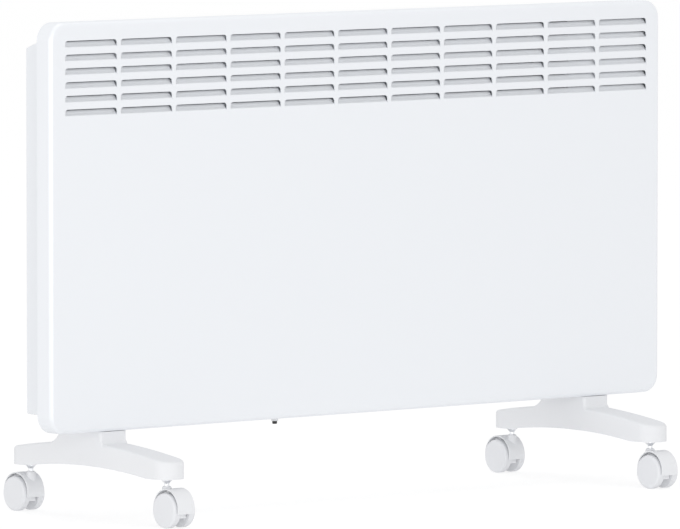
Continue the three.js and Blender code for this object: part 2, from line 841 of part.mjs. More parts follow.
const buttonsLength = (BUTTON_NAMES.length - 1) * BUTTON_PITCH + BUTTON_LENGTH;
const buttonsMiddle = faceOpeningLength / 2 - BUTTON_END_MARGIN - buttonsLength / 2;
const displayRoom = faceOpeningLength - BUTTON_END_MARGIN - buttonsLength - DISPLAY_BUTTON_GAP;
const displayLength = displayRoom - DISPLAY_END_MARGIN;
const displayMiddle = (displayLength - faceOpeningLength) / 2 + DISPLAY_END_MARGIN;

const buttonX = (index) => (index - (BUTTON_NAMES.length - 1) / 2) * BUTTON_PITCH + buttonsMiddle;

function buttonOutline(index, grow) {
  const [length, width] = [BUTTON_LENGTH + 2 * grow, BUTTON_WIDTH + 2 * grow];
  return roundedRectangle(length, width, BUTTON_CORNER + grow, buttonX(index), 0);
}

function controlFace() {
  const rim = roundedRectangle(faceLength, FACE_WIDTH, FACE_CORNER);
  const lip = roundedRectangle(
    faceOpeningLength - 2 * SEAT_GAP,
    faceOpeningWidth - 2 * SEAT_GAP,
    FACE_CORNER / 2,
  );
  const bottom = SEAT_GAP - FACE_LIP;
  const top = SEAT_GAP + FACE_THICKNESS;
  const lipTop = SEAT_GAP + FACE_THICKNESS / 2;
  const frame = join(raised(rim, SEAT_GAP, top, KEY_STEPS), raised(lip, bottom, lipTop, KEY_STEPS));
  const keyways = BUTTON_NAMES.map((_, i) => buttonOutline(i, SEAT_GAP));
  const skirts = BUTTON_NAMES.map((_, i) => buttonOutline(i, BUTTON_SKIRT + SEAT_GAP));
  const window = roundedRectangle(
    displayLength,
    DISPLAY_WIDTH,
    DISPLAY_CORNER,
    displayMiddle,
    0,
  );
  return cut(
    frame,
    raised(keyways, bottom - 1, top + 1, KEY_STEPS),
    raised(skirts, bottom - 1, 0, KEY_STEPS),
    raised(window, bottom - 1, top + 1, KEY_STEPS),
  );
}

function displayWindow() {
  const outline = roundedRectangle(
    displayLength - 2 * SEAT_GAP,
    DISPLAY_WIDTH - 2 * SEAT_GAP,
    DISPLAY_CORNER - SEAT_GAP,
    displayMiddle,
    0,
  );
  const top = SEAT_GAP + FACE_THICKNESS - DISPLAY_RECESS;
  return raised(outline, SEAT_GAP - FACE_LIP, top, KEY_STEPS);
}

// A key: its cap stands out of the face and its skirt keeps it in.
function button(index) {
  const top = SEAT_GAP + FACE_THICKNESS + BUTTON_STAND;
  const skirtTop = -SEAT_GAP;
  const cap = raised(buttonOutline(index, 0), skirtTop - 0.5, top, KEY_STEPS);
  const skirt = raised(
    buttonOutline(index, BUTTON_SKIRT),
    skirtTop - BUTTON_SKIRT_THICKNESS,
    skirtTop,
    KEY_STEPS,
  );
  return join(cap, skirt);
}

// ---------------------------------------------------------------- mains switch

function switchBodyHeight() {
  return SWITCH_FLANGE_HEIGHT - 2 * SWITCH_RIM;
}

function switchBodyDepthY() {
  return SWITCH_FLANGE_DEPTH - 2 * SWITCH_RIM;
}

const switchFaceX = casingHalf + SEAT_GAP + SWITCH_FLANGE_THICKNESS;
const rockerX = switchFaceX - ROCKER_PIVOT_DEPTH;
const rockerReach = switchBodyHeight() / 2 - SWITCH_WALL - SEAT_GAP;

function switchFrame() {
  const flange = block(
    casingHalf + SEAT_GAP,
    switchFaceX,
    switchY - SWITCH_FLANGE_DEPTH / 2,
    switchY + SWITCH_FLANGE_DEPTH / 2,
    switchZ - SWITCH_FLANGE_HEIGHT / 2,
    switchZ + SWITCH_FLANGE_HEIGHT / 2,
  );
  const body = block(
    switchFaceX - SWITCH_BODY_DEPTH,
    switchFaceX - 0.5,
    switchY - switchBodyDepthY() / 2,
    switchY + switchBodyDepthY() / 2,
    switchZ - switchBodyHeight() / 2,
    switchZ + switchBodyHeight() / 2,
  );
  const well = block(
    switchFaceX - SWITCH_BODY_DEPTH + SWITCH_WALL,
    switchFaceX + 1,
    switchY - switchBodyDepthY() / 2 + SWITCH_WALL,
    switchY + switchBodyDepthY() / 2 - SWITCH_WALL,
    switchZ - switchBodyHeight() / 2 + SWITCH_WALL,
    switchZ + switchBodyHeight() / 2 - SWITCH_WALL,
  );
  const across = new THREE.CylinderGeometry(
    TRUNNION_RADIUS + SEAT_GAP,
    TRUNNION_RADIUS + SEAT_GAP,
    switchBodyDepthY() + 1,
    TRUNNION_STEPS,
  );
  const pivotHole = solid(across.translate(rockerX, switchY, switchZ));
  return cut(join(flange, body), well, pivotHole);
}

// The rocker's ends are arcs about its pivot, so that its running gap never changes.
function switchRocker() {
  const half = switchBodyDepthY() / 2 - SWITCH_WALL - SEAT_GAP;
  const outline = new THREE.Shape();
  const topAngle = Math.asin(ROCKER_STAND / rockerReach);
  const bellyAngle = Math.asin(ROCKER_BELLY / rockerReach);
  outline.absarc(0, 0, rockerReach, -bellyAngle, topAngle, false);
  outline.lineTo(0, ROCKER_STAND - ROCKER_DISH);
  outline.absarc(0, 0, rockerReach, Math.PI - topAngle, Math.PI + bellyAngle, false);
  const bar = extruded(outline, 2 * half, 3).translate(0, 0, -half);
  const pin = new THREE.CylinderGeometry(
    TRUNNION_RADIUS,
    TRUNNION_RADIUS,
    2 * (half + SEAT_GAP + TRUNNION_REACH),
    TRUNNION_STEPS,
  );
  const rocker = join(solid(bar), solid(pin.rotateX(Math.PI / 2)));
  const tilt = new THREE.Matrix4().makeRotationZ(THREE.MathUtils.degToRad(-ROCKER_TILT_DEG));
  const stand = new THREE.Matrix4().makeBasis(
    new THREE.Vector3(0, 0, -1),
    new THREE.Vector3(1, 0, 0),
    new THREE.Vector3(0, -1, 0),
  );
  stand.setPosition(rockerX, switchY, switchZ);
  return rocker.transform(stand.multiply(tilt).toArray());
}

// ---------------------------------------------------------------- mains entry and sensor

function terminalBlock() {
  const [y1, z0] = [shieldFrontY - SEAT_GAP, shieldBottom + BLOCK_LIFT];
  const x1 = casingInsideHalf - SEAT_GAP - BLOCK_HEIGHT / 2;
  const [x0, y0] = [x1 - BLOCK_LENGTH, y1 - BLOCK_DEPTH];
  const body = block(x0, x1, y0, y1, z0, z0 + BLOCK_HEIGHT);
  const pitch = BLOCK_LENGTH / BLOCK_WAYS;
  const holes = centred(BLOCK_WAYS).map((way) =>
    post(
      (x0 + x1) / 2 + way * pitch,
      (y0 + y1) / 2,
      z0 - 1,
      z0 + BLOCK_HEIGHT + 1,
      BLOCK_HOLE_RADIUS,
      8,
    ),
  );
  return cut(body, ...holes);
}

// The cord gland: a flange and tapered nose under the casing's floor, a sleeve through it.
function cordGland() {
  const flangeTop = casingBottom - SEAT_GAP;
  const flangeBottom = flangeTop - GLAND_FLANGE_THICKNESS;
  const noseBottom = flangeBottom - GLAND_NOSE_LENGTH;
  const sleeveTop = casingFloor + GLAND_SLEEVE_LENGTH;
  return turned(
    [
      [GLAND_BORE_RADIUS, noseBottom],
      [GLAND_NOSE_RADIUS, noseBottom],
      [GLAND_SLEEVE_RADIUS + 1, flangeBottom],
      [GLAND_FLANGE_RADIUS, flangeBottom],
      [GLAND_FLANGE_RADIUS, flangeTop],
      [GLAND_SLEEVE_RADIUS, flangeTop],
      [GLAND_SLEEVE_RADIUS, sleeveTop],
      [GLAND_BORE_RADIUS, sleeveTop],
      [GLAND_BORE_RADIUS, noseBottom],
    ],
    glandX,
    glandY,
    GLAND_STEPS,
  );
}

function glandNut() {
  const bottom = casingFloor + SEAT_GAP;
  const radius = NUT_ACROSS_CORNERS / 2;
  const hexagon = post(glandX, glandY, bottom, bottom + NUT_THICKNESS, radius, 6);
  const hole = GLAND_SLEEVE_RADIUS + SEAT_GAP;
  const bore = post(glandX, glandY, bottom - 1, bottom + NUT_THICKNESS + 1, hole, GLAND_STEPS);
  return cut(hexagon, bore);
}

const sleeveBottom = casingBottom - SLEEVE_LENGTH;
const sleeveTop = casingFloor + SEAT_GAP + SLEEVE_COLLAR_THICKNESS;

function sensorSleeve() {
  const collarBottom = casingFloor + SEAT_GAP;
  const bore = SENSOR_RADIUS + SEAT_GAP;
  return turned(
    [
      [bore, sleeveBottom],
      [sleeveRadius, sleeveBottom],
      [sleeveRadius, collarBottom],
      [sleeveRadius + SLEEVE_COLLAR, collarBottom],
      [sleeveRadius + SLEEVE_COLLAR, sleeveTop],
      [bore, sleeveTop],
      [bore, sleeveBottom],
    ],
    SENSOR_X,
    sensorY,
    SENSOR_STEPS,
  );
}

function airSensor() {
  const tip = sleeveBottom - SENSOR_TIP;
  return turned(
    [
      [0, tip],
      [SENSOR_RADIUS - SENSOR_EDGE, tip],
      [SENSOR_RADIUS, tip + SENSOR_EDGE],
      [SENSOR_RADIUS, sleeveTop + SENSOR_TIP],
      [0, sleeveTop + SENSOR_TIP],
    ],
    SENSOR_X,
    sensorY,
    SENSOR_STEPS,
  );
}

// ---------------------------------------------------------------- feet

const footHalfLength = (STEM_SPACING + FOOT_WIDTH) / 2;
const armRun = footHalfLength - NECK_FRONT;

// Height of an arm's top above the foot's underside, at a distance from the foot's middle.
function armTop(distance) {
  const part = Math.max(0, distance - NECK_FRONT) / armRun;
  const fall = ARM_ROOT_HEIGHT - ARM_END_HEIGHT;
  return ARM_ROOT_HEIGHT - fall * (0.55 * part + 0.45 * part * part);
}

// The foot in profile (y, z above its underside): arched below, with a neck that meets
// the cover's lower edge in front and the casing's floor behind it.
function footProfile() {
  const shape = new THREE.Shape();
  const neckFrontTop = FOOT_HEIGHT - NECK_COVER_GAP;
  const neckTop = FOOT_HEIGHT + CASING_RAISE - SEAT_GAP;
  const stepY = coverRearY + NECK_COVER_GAP;
  const filletEnd = NECK_REAR + NECK_REAR_FILLET;
  const filletFoot = armTop(filletEnd);
  const steps = FOOT_STEPS;
  shape.moveTo(-footHalfLength, 0);
  shape.lineTo(-ARCH_HALF_LENGTH, 0);
  shape.quadraticCurveTo(0, 2 * ARCH_RISE, ARCH_HALF_LENGTH, 0);
  shape.lineTo(footHalfLength, 0);
  for (let i = 0; i < steps; i++) {
    const distance = footHalfLength + ((filletEnd - footHalfLength) * i) / steps;
    shape.lineTo(distance, armTop(distance));
  }
  shape.absarc(
    filletEnd,
    filletFoot + NECK_REAR_FILLET,
    NECK_REAR_FILLET,
    -Math.PI / 2,
    -Math.PI,
    true,
  );
  shape.lineTo(NECK_REAR, neckTop);
  shape.lineTo(stepY, neckTop);
  shape.lineTo(stepY, neckFrontTop);
  shape.lineTo(-NECK_FRONT, neckFrontTop);
  const rootY = -NECK_FRONT - NECK_FRONT_FILLET;
  const rootZ = armTop(-rootY);
  shape.absarc(rootY, rootZ + NECK_FRONT_FILLET, NECK_FRONT_FILLET, 0, -Math.PI / 2, true);
  for (let i = 1; i <= steps; i++) {
    const distance = -rootY + ((footHalfLength + rootY) * i) / steps;
    shape.lineTo(-distance, armTop(distance));
  }
  return shape;
}

// Open cells in the underside of both arms, between the neck and the caster sockets.
function footCells() {
  const start = NECK_FRONT + FOOT_WALL;
  const end = STEM_SPACING / 2 - STEM_SOCKET_RADIUS - SOCKET_WALL;
  const pitch = (end - start + FOOT_CELL_RIB) / FOOT_CELLS;
  const width = FOOT_WIDTH / 2 - FOOT_WALL;
  const cells = [];
  for (const side of [-1, 1]) {
    for (let i = 0; i < FOOT_CELLS; i++) {
      const near = start + i * pitch;
      const far = near + pitch - FOOT_CELL_RIB;
      const [y0, y1] = side < 0 ? [-far, -near] : [near, far];
      cells.push(block(-width, width, y0, y1, -1, armTop(far) - FOOT_WALL));
    }
  }
  return cells;
}

function foot() {
  const profile = rail(footProfile(), -FOOT_WIDTH, FOOT_WIDTH, FOOT_STEPS);
  const outline = new THREE.Shape();
  const [radius, reach] = [FOOT_WIDTH / 2, STEM_SPACING / 2];
  outline.absarc(0, reach, radius, 0, Math.PI, false);
  outline.absarc(0, -reach, radius, Math.PI, 2 * Math.PI, false);
  const plan = raised(outline, -1, FOOT_HEIGHT + CASING_RAISE + 1, FOOT_STEPS);
  const sockets = [-reach, reach].map((y) =>
    post(0, y, -1, STEM_SOCKET_LENGTH + SEAT_GAP, STEM_SOCKET_RADIUS + SEAT_GAP),
  );
  const screws = [0, 1].flatMap((end) => {
    const y = FOOT_SCREW_FRONT + end * FOOT_SCREW_SPACING;
    const head = FOOT_SCREW_HEAD_RADIUS + SEAT_GAP;
    return [
      post(0, y, -1, FOOT_HEIGHT + CASING_RAISE + 1, FOOT_SCREW_RADIUS + SEAT_GAP),
      post(0, y, -1, FOOT_SCREW_SEAT, head),
    ];
  });
  return cut(profile.intersect(plan), ...footCells(), ...sockets, ...screws);
}

function footScrew(x, y) {
  const seat = CASTER_HEIGHT + FOOT_SCREW_SEAT - SEAT_GAP;
  return turned(
    [
      [0, seat - FOOT_SCREW_HEAD_HEIGHT],
      [FOOT_SCREW_HEAD_RADIUS - 1, seat - FOOT_SCREW_HEAD_HEIGHT],
      [FOOT_SCREW_HEAD_RADIUS, seat - FOOT_SCREW_HEAD_HEIGHT + 1],
      [FOOT_SCREW_HEAD_RADIUS, seat],
      [FOOT_SCREW_RADIUS, seat],
      [FOOT_SCREW_RADIUS, casingFloor + FOOT_SCREW_END],
      [0, casingFloor + FOOT_SCREW_END],
    ],
    x,
    y,
  );
}

// ---------------------------------------------------------------- casters

// Each caster is drawn about its stem at x = y = 0, trailing towards +Y.

function casterStem() {
  const flangeTop = CASTER_HEIGHT - SEAT_GAP;
  const flangeBottom = flangeTop - STEM_FLANGE_THICKNESS;
  return turned(
    [
      [0, STEM_PIN_BOTTOM],
      [STEM_WAIST_RADIUS, STEM_PIN_BOTTOM],
      [STEM_WAIST_RADIUS, STEM_CONE_BOTTOM],
      [STEM_FLANGE_RADIUS, flangeBottom],
      [STEM_FLANGE_RADIUS, flangeTop],
      [STEM_SOCKET_RADIUS, flangeTop],
      [STEM_SOCKET_RADIUS, CASTER_HEIGHT + STEM_SOCKET_LENGTH],
      [0, CASTER_HEIGHT + STEM_SOCKET_LENGTH],
    ],
    0,
    0,
  );
}

// The part of a circle about the hood's middle that lies above a level, as an outline.
function above(radius, level) {
  const dip = Math.asin((HOOD_RADIUS - level) / radius);
  const shape = new THREE.Shape();
  shape.absarc(TRAIL, HOOD_RADIUS, radius, -dip, Math.PI + dip, false);
  return shape;
}

function casterHood() {
  const inner = HOOD_RADIUS - HOOD_WALL;
  const shell = rail(
    above(HOOD_RADIUS, HOOD_LOWER_EDGE),
    -HOOD_HALF_WIDTH,
    HOOD_HALF_WIDTH,
    HOOD_STEPS,
  );
  const cavity = rail(
    above(inner, HOOD_LOWER_EDGE - 3),
    -HOOD_HALF_WIDTH - 1,
    HOOD_HALF_WIDTH + 1,
    HOOD_STEPS,
  );
  const web = rail(
    above(inner + HOOD_WALL / 2, WEB_LOWER_EDGE),
    -WEB_HALF_WIDTH,
    WEB_HALF_WIDTH,
    HOOD_STEPS,
  );
  const webReach = WHEEL_RADIUS - WEB_RECESS;
  const webTrim = block(
    -HOOD_HALF_WIDTH,
    HOOD_HALF_WIDTH,
    TRAIL - 2 * HOOD_RADIUS,
    TRAIL - webReach,
    0,
    HOOD_LOWER_EDGE,
  );
  const webTrimRear = webTrim.translate(0, 2 * HOOD_RADIUS + webReach, 0);
  const boss = turned(
    [
      [0, BOSS_BOTTOM],
      [BOSS_RADIUS, BOSS_BOTTOM],
      [BOSS_RADIUS, BOSS_TOP - BOSS_CHAMFER],
      [BOSS_RADIUS - BOSS_CHAMFER, BOSS_TOP],
      [0, BOSS_TOP],
    ],
    0,
    0,
  );
  const stemBore = post(
    0,
    0,
    STEM_PIN_BOTTOM - SEAT_GAP,
    BOSS_TOP + 1,
    STEM_WAIST_RADIUS + SEAT_GAP,
  );
  const axleBore = crossbar(
    TRAIL,
    WHEEL_RADIUS,
    -HOOD_HALF_WIDTH,
    HOOD_HALF_WIDTH,
    AXLE_RADIUS + SEAT_GAP,
  );
  const hub = crossbar(
    TRAIL,
    WHEEL_RADIUS,
    -WEB_HALF_WIDTH,
    WEB_HALF_WIDTH,
    AXLE_RADIUS + HUB_WALL,
  );
  const trimmed = cut(web, webTrim, webTrimRear);
  return cut(join(cut(shell, cavity), trimmed, hub, boss), stemBore, axleBore);
}

function casterAxle() {
  const half = WHEEL_OUTER_FACE - WHEEL_FACE_WALL - SEAT_GAP;
  return crossbar(TRAIL, WHEEL_RADIUS, -half, half, AXLE_RADIUS);
}

// A wheel: plain tread, rounded outer edge, closed outer face, blind bore for the axle.
function casterWheel(side) {
  const bore = AXLE_RADIUS + SEAT_GAP;
  const boreEnd = WHEEL_OUTER_FACE - WHEEL_FACE_WALL;
  const profile = [
    [0, WHEEL_OUTER_FACE],
    [WHEEL_RADIUS - WHEEL_EDGE, WHEEL_OUTER_FACE],
    [WHEEL_RADIUS - WHEEL_EDGE * 0.3, WHEEL_OUTER_FACE - WHEEL_EDGE * 0.3],
    [WHEEL_RADIUS, WHEEL_OUTER_FACE - WHEEL_EDGE],
    [WHEEL_RADIUS, WHEEL_INNER_FACE],
    [bore, WHEEL_INNER_FACE],
    [bore, boreEnd],
    [0, boreEnd],
  ];
  const points = profile.map(([radius, x]) => new THREE.Vector2(radius, x));
  const lathe = new THREE.LatheGeometry(points, WHEEL_STEPS);
  return solid(lathe.rotateZ((-side * Math.PI) / 2).translate(0, TRAIL, WHEEL_RADIUS));
}

function addCaster(parent, name, x, y, facing) {
  const caster = new THREE.Group();
  caster.position.set(x, y, 0);
  caster.rotation.z = facing;
  piece(caster, `${name}_stem`, casterStem(), zincSteel());
  piece(caster, `${name}_hood`, casterHood(), whitePlastic());
  piece(caster, `${name}_axle`, casterAxle(), zincSteel());
  const [inner, outer] = facing ? [1, -1] : [-1, 1];
  piece(caster, `${name}_wheel_left`, casterWheel(inner), wheelPlastic());
  piece(caster, `${name}_wheel_right`, casterWheel(outer), wheelPlastic());
  parent.add(caster);
}

// ---------------------------------------------------------------- assembly

function addBody(heater) {
  piece(heater, "front_cover", frontCover(), whiteEnamel());
  piece(heater, "rear_casing", rearCasing(), whiteEnamel());
  piece(heater, "heat_shield", heatShield(), zincSteel());
  piece(heater, "heating_element", heatingElement(), castAluminium());
  for (const [name, side] of [["left", -1], ["right", 1]]) {
    piece(heater, `element_terminal_${name}`, elementTerminal(side), ceramic());
    piece(heater, `element_bracket_${name}`, elementBracket(side), zincSteel());
  }
  piece(heater, "thermal_cutout", thermalCutout(), blackPlastic());
}

function addControls(heater) {
  piece(heater, "control_housing", controlHousing(), whitePlastic());
  piece(heater, "control_board", controlBoard(), boardGreen());
  piece(heater, "wire_connector", wireConnector(), blackPlastic());
  piece(heater, "control_face", onSlope(controlFace()), whitePlastic());
  piece(heater, "display_window", onSlope(displayWindow()), displayGlass());
  BUTTON_NAMES.forEach((name, index) => {
    piece(heater, `button_${name}`, onSlope(button(index)), greyPlastic());
  });
  piece(heater, "switch_frame", switchFrame(), blackPlastic());
  piece(heater, "switch_rocker", switchRocker(), blackPlastic());
  piece(heater, "terminal_block", terminalBlock(), whitePlastic());
  piece(heater, "cord_gland", cordGland(), blackPlastic());
  piece(heater, "gland_nut", glandNut(), blackPlastic());
  piece(heater, "sensor_sleeve", sensorSleeve(), whitePlastic());
  piece(heater, "air_sensor", airSensor(), blackPlastic());
}

function addFeet(heater) {
  for (const [name, side] of [["left", -1], ["right", 1]]) {
    const stand = new THREE.Group();
    stand.position.set(side * footX, 0, CASTER_HEIGHT);
    piece(stand, `foot_${name}`, foot(), whitePlastic());
    heater.add(stand);
    addCaster(heater, `caster_${name}_front`, side * footX, -STEM_SPACING / 2, Math.PI);
    addCaster(heater, `caster_${name}_rear`, side * footX, STEM_SPACING / 2, 0);
  }
  eachFootScrew((x, y, name) => {
    piece(heater, `foot_screw_${name}`, footScrew(x, y), zincSteel());
  });
}

const heater = new THREE.Group();
addBody(heater);
addControls(heater);
addFeet(heater);

export default heater;
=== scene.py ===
import math

import bmesh
import bpy
from bpy.props import FloatProperty, FloatVectorProperty, IntProperty, PointerProperty
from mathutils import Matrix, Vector


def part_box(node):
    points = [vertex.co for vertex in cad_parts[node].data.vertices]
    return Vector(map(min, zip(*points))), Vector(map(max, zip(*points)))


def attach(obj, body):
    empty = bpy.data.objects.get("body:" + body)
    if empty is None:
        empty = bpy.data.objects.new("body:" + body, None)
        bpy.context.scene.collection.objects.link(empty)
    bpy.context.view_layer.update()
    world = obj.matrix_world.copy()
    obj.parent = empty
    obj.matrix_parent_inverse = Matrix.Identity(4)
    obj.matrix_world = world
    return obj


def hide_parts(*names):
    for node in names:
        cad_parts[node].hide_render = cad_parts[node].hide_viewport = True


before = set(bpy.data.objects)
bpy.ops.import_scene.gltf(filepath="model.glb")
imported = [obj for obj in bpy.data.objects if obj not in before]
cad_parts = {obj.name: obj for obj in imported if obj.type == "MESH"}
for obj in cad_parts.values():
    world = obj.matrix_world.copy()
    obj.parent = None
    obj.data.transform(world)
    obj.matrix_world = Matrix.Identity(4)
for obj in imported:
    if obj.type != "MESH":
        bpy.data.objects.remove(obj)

bl_info = {
    "name": "Panel Convector Heater",
    "version": (1, 0, 0),
    "blender": (4, 5, 0),
    "location": "3D View > Sidebar > Heater",
    "description": "Models the finished surfaces of a panel convector heater on wheeled feet",
    "category": "Add Mesh",
}

BODY = "heater"
TINY = 1e-5  # two places closer than this are the same
SEED = 0.001  # size of a primitive that is only a start
PAST = 0.001  # how far a cutter stands past what it cuts
CASTERS = [f"caster_{side}_{end}" for side in ("left", "right") for end in ("front", "rear")]
BUTTONS = [f"button_{name}" for name in ("power", "mode", "down", "up")]


# ---------------------------------------------------------------- sizes and colours


def number(name, description, default):
    """A plain number that a user can change."""
    return FloatProperty(name=name, description=description, default=default)


def count(name, description, default):
    """How many there are of a thing."""
    return IntProperty(name=name, description=description, default=default, min=1)


def length(name, description, default):
    """A length that a user can change, in metres."""
    return FloatProperty(
        name=name, description=description, default=default, unit="LENGTH", precision=5
    )


def angle(name, description, degrees):
    """An angle that a user can change, its default in degrees."""
    return FloatProperty(
        name=name, description=description, default=math.radians(degrees), subtype="ANGLE"
    )


def power(name, description, default):
    """A light's power in watts."""
    return FloatProperty(name=name, description=description, default=default, unit="POWER")


def point(name, description, default):
    """A place that a user can change, in metres."""
    return FloatVectorProperty(
        name=name, description=description, default=default, subtype="XYZ", unit="LENGTH"
    )


def colour(name, description, default):
    """A finish's colour that a user can change."""
    return FloatVectorProperty(
        name=name, description=description, default=default, subtype="COLOR", min=0, max=1
    )


class CoverSizes(bpy.types.PropertyGroup):
    sheet: length("Sheet", "Thickness of the cover's sheet steel", 0.0012)
    edge: length("Edge radius", "Rounding between the front and the rim", 0.0045)
    corner: length("Corner radius", "Rounding of the cover's four corners", 0.02)
    columns: count("Columns", "Louvres in a row", 11)
    rows: count("Rows", "Rows of louvres", 6)
    column_pitch: length("Column pitch", "From one louvre to the next beside it", 0.078)
    row_pitch: length("Row pitch", "From one louvre to the next below it", 0.015)
    louvre_width: length("Louvre width", "Width of a louvre's opening", 0.0728)
    louvre_height: length("Louvre height", "Height of a louvre's opening", 0.0086)
    louvre_corner: length("Louvre corner", "Rounding of an opening's upper corners", 0.0036)
    top_margin: length("Top margin", "From the cover's top to the first openings", 0.0199)
    cut: length("Cut", "Width of the cut round a flap", 0.0003)
    flap_stretch: number(
        "Flap stretch", "How much longer than its opening the pressing makes a flap", 1.08
    )
    root_tilt: angle("Root tilt", "How far a flap's lower part is bent back", 52)
    tip_tilt: angle("Tip tilt", "How far a flap's upper part leans back", 26)
    root_bend: length("Root bend", "Length of a flap's first curve", 0.0022)
    shelf: length("Flap shelf", "From a flap's root to its second curve", 0.0026)
    tip_bend: length("Tip bend", "Length of a flap's second curve", 0.0036)
    folds: count("Folds", "Small folds that make up each of a flap's curves", 5)


class CasingSizes(bpy.types.PropertyGroup):
    flange: length("Flange", "Width of the flanges beside the casing's box", 0.0205)
    fold: length("Fold radius", "Rounding of the casing's folds", 0.002)
    fold_angle: angle("Fold angle", "Least angle of a fold", 28.65)
    fold_length: length("Fold length", "Least length of a fold", 0.03)
    slack: length("Slack", "How far a fold may lie from the box's side", 0.0002)


class FootSizes(bpy.types.PropertyGroup):
    edge: length("Edge radius", "Rounding of a foot's upper edges", 0.0036)
    arm_root: length("Arm root", "Height of an arm where it leaves the neck", 0.032)
    arm_end: length("Arm end", "Height of an arm at its end", 0.0188)
    arch_rise: length("Arch rise", "How far the underside arches up", 0.007)
    arch_half: length("Arch half", "From the foot's middle to the arch's foot", 0.104)
    neck_front: length("Neck front", "From the foot's middle to the neck's front", 0.027)
    neck_rear: length("Neck rear", "From the foot's middle to the neck's back", 0.042)
    neck_height: length("Neck height", "Height of the neck's front part", 0.0457)
    neck_gap: length("Neck gap", "Between the cover's rim and the neck's taller part", 0.0006)
    front_fillet: length("Front fillet", "Curve between the neck and the front arm", 0.004)
    rear_fillet: length("Rear fillet", "Curve between the neck and the rear arm", 0.028)
    wall: length("Wall", "Wall round the open cells of the underside", 0.0028)
    rib: length("Rib", "Thickness of the ribs between the cells", 0.0026)
    cells: count("Cells", "Open cells in each arm", 3)
    cell_corner: length("Cell corner", "Rounding of a cell's corners", 0.001)
    stem_spacing: length("Stem spacing", "From one caster's stem to the other's", 0.2374)
    socket_radius: length("Socket radius", "Radius of a stem's socket", 0.0053)
    socket_depth: length("Socket depth", "Depth of a stem's socket", 0.0133)
    socket_wall: length("Socket wall", "Least wall round a socket", 0.004)
    screw_front: length("Front screw", "From the foot's middle to its front screw", 0.004)
    screw_rear: length("Rear screw", "From the foot's middle to its rear screw", 0.028)
    screw_recess: length("Screw recess", "Radius of the recess for a screw's head", 0.0063)
    screw_seat: length("Screw seat", "Height of the seat under a screw's head", 0.026)
    screw_hole: length("Screw hole", "Radius of a screw's hole", 0.0033)


class CasterSizes(bpy.types.PropertyGroup):
    gap: length("Gap", "Running gap round a pin", 0.0003)
    height: length("Height", "Height of a caster under the foot", 0.0527)
    trail: length("Trail", "From the stem to the axle", 0.0124)
    hood_radius: length("Hood radius", "Outer radius of a hood", 0.02152)
    hood_wall: length("Hood wall", "Thickness of a hood", 0.0015)
    hood_lip: length("Hood lip", "Rounding of a hood's side edges", 0.00045)
    hood_edge: length("Hood edge", "Height of a hood's lower edge over the floor", 0.016)
    web_width: length("Web width", "Thickness of the web between the wheels", 0.0104)
    web_edge: length("Web edge", "Height of the web's lower edge over the floor", 0.011)
    web_recess: length("Web recess", "How far the web stays inside the wheels", 0.005)
    hub_wall: length("Hub wall", "Wall round the axle", 0.003)
    boss_radius: length("Boss radius", "Radius of the boss that holds the stem", 0.0052)
    boss_bottom: length("Boss bottom", "Height of the boss's lower end", 0.028)
    boss_top: length("Boss top", "Height of the boss's top", 0.0446)
    boss_edge: length("Boss edge", "Rounding of the boss's top", 0.0019)
    pin_radius: length("Pin radius", "Radius of the stem's waist", 0.0028)
    pin_bottom: length("Pin bottom", "Height of the stem's lower end", 0.03)
    cone_bottom: length("Cone bottom", "Height where the stem widens", 0.0476)
    flange_radius: length("Flange radius", "Radius of the stem's flange", 0.0062)
    flange_thickness: length("Flange thickness", "Thickness of the flange", 0.0013)
    stem_edge: length("Stem edge", "Rounding of the stem's edges", 0.0003)
    socket_pin: length("Socket pin", "Radius of the pin in the foot", 0.005)
    wheel_radius: length("Wheel radius", "Radius of a wheel", 0.0192)
    wheel_edge: length("Wheel edge", "Rounding of a wheel's outer edge", 0.0026)
    wheel_lip: length("Wheel lip", "Rounding of a wheel's inner edge", 0.0006)
    face_wall: length("Face wall", "Wall of a wheel's outer face", 0.0018)
    axle_radius: length("Axle radius", "Radius of an axle", 0.003)


class FittingSizes(bpy.types.PropertyGroup):
    moulded_edge: length("Moulded edge", "Rounding of the control face and buttons", 0.0004)
    rocker_edge: length("Rocker edge", "Rounding of the mains switch's rocker", 0.0003)
    gap: length("Gap", "Gap round the sensor in its sleeve", 0.0003)
    sensor_tip: length("Sensor tip", "Rounding of the sensor's tip", 0.001)
    sleeve_wall: length("Sleeve wall", "Wall of the sensor's sleeve", 0.001)
    sleeve_edge: length("Sleeve edge", "Chamfer of the sleeve's lower end", 0.0003)
    collar: length("Collar", "Thickness of the sleeve's collar", 0.002)
    gland_bore: length("Gland bore", "Radius of the gland's bore", 0.004)
    gland_sleeve: length("Gland sleeve", "Radius of the gland's sleeve", 0.007)
    gland_tip: length("Gland tip", "Radius of the gland's lower end", 0.006)
    gland_root: length("Gland root", "Radius of the gland's nose at its flange", 0.008)
    gland_nose: length("Gland nose", "Length of the gland's tapered nose", 0.005)
    gland_flange: length("Gland flange", "Thickness of the gland's flange", 0.003)
    gland_edge: length("Gland edge", "Chamfer of the gland's edges", 0.0004)


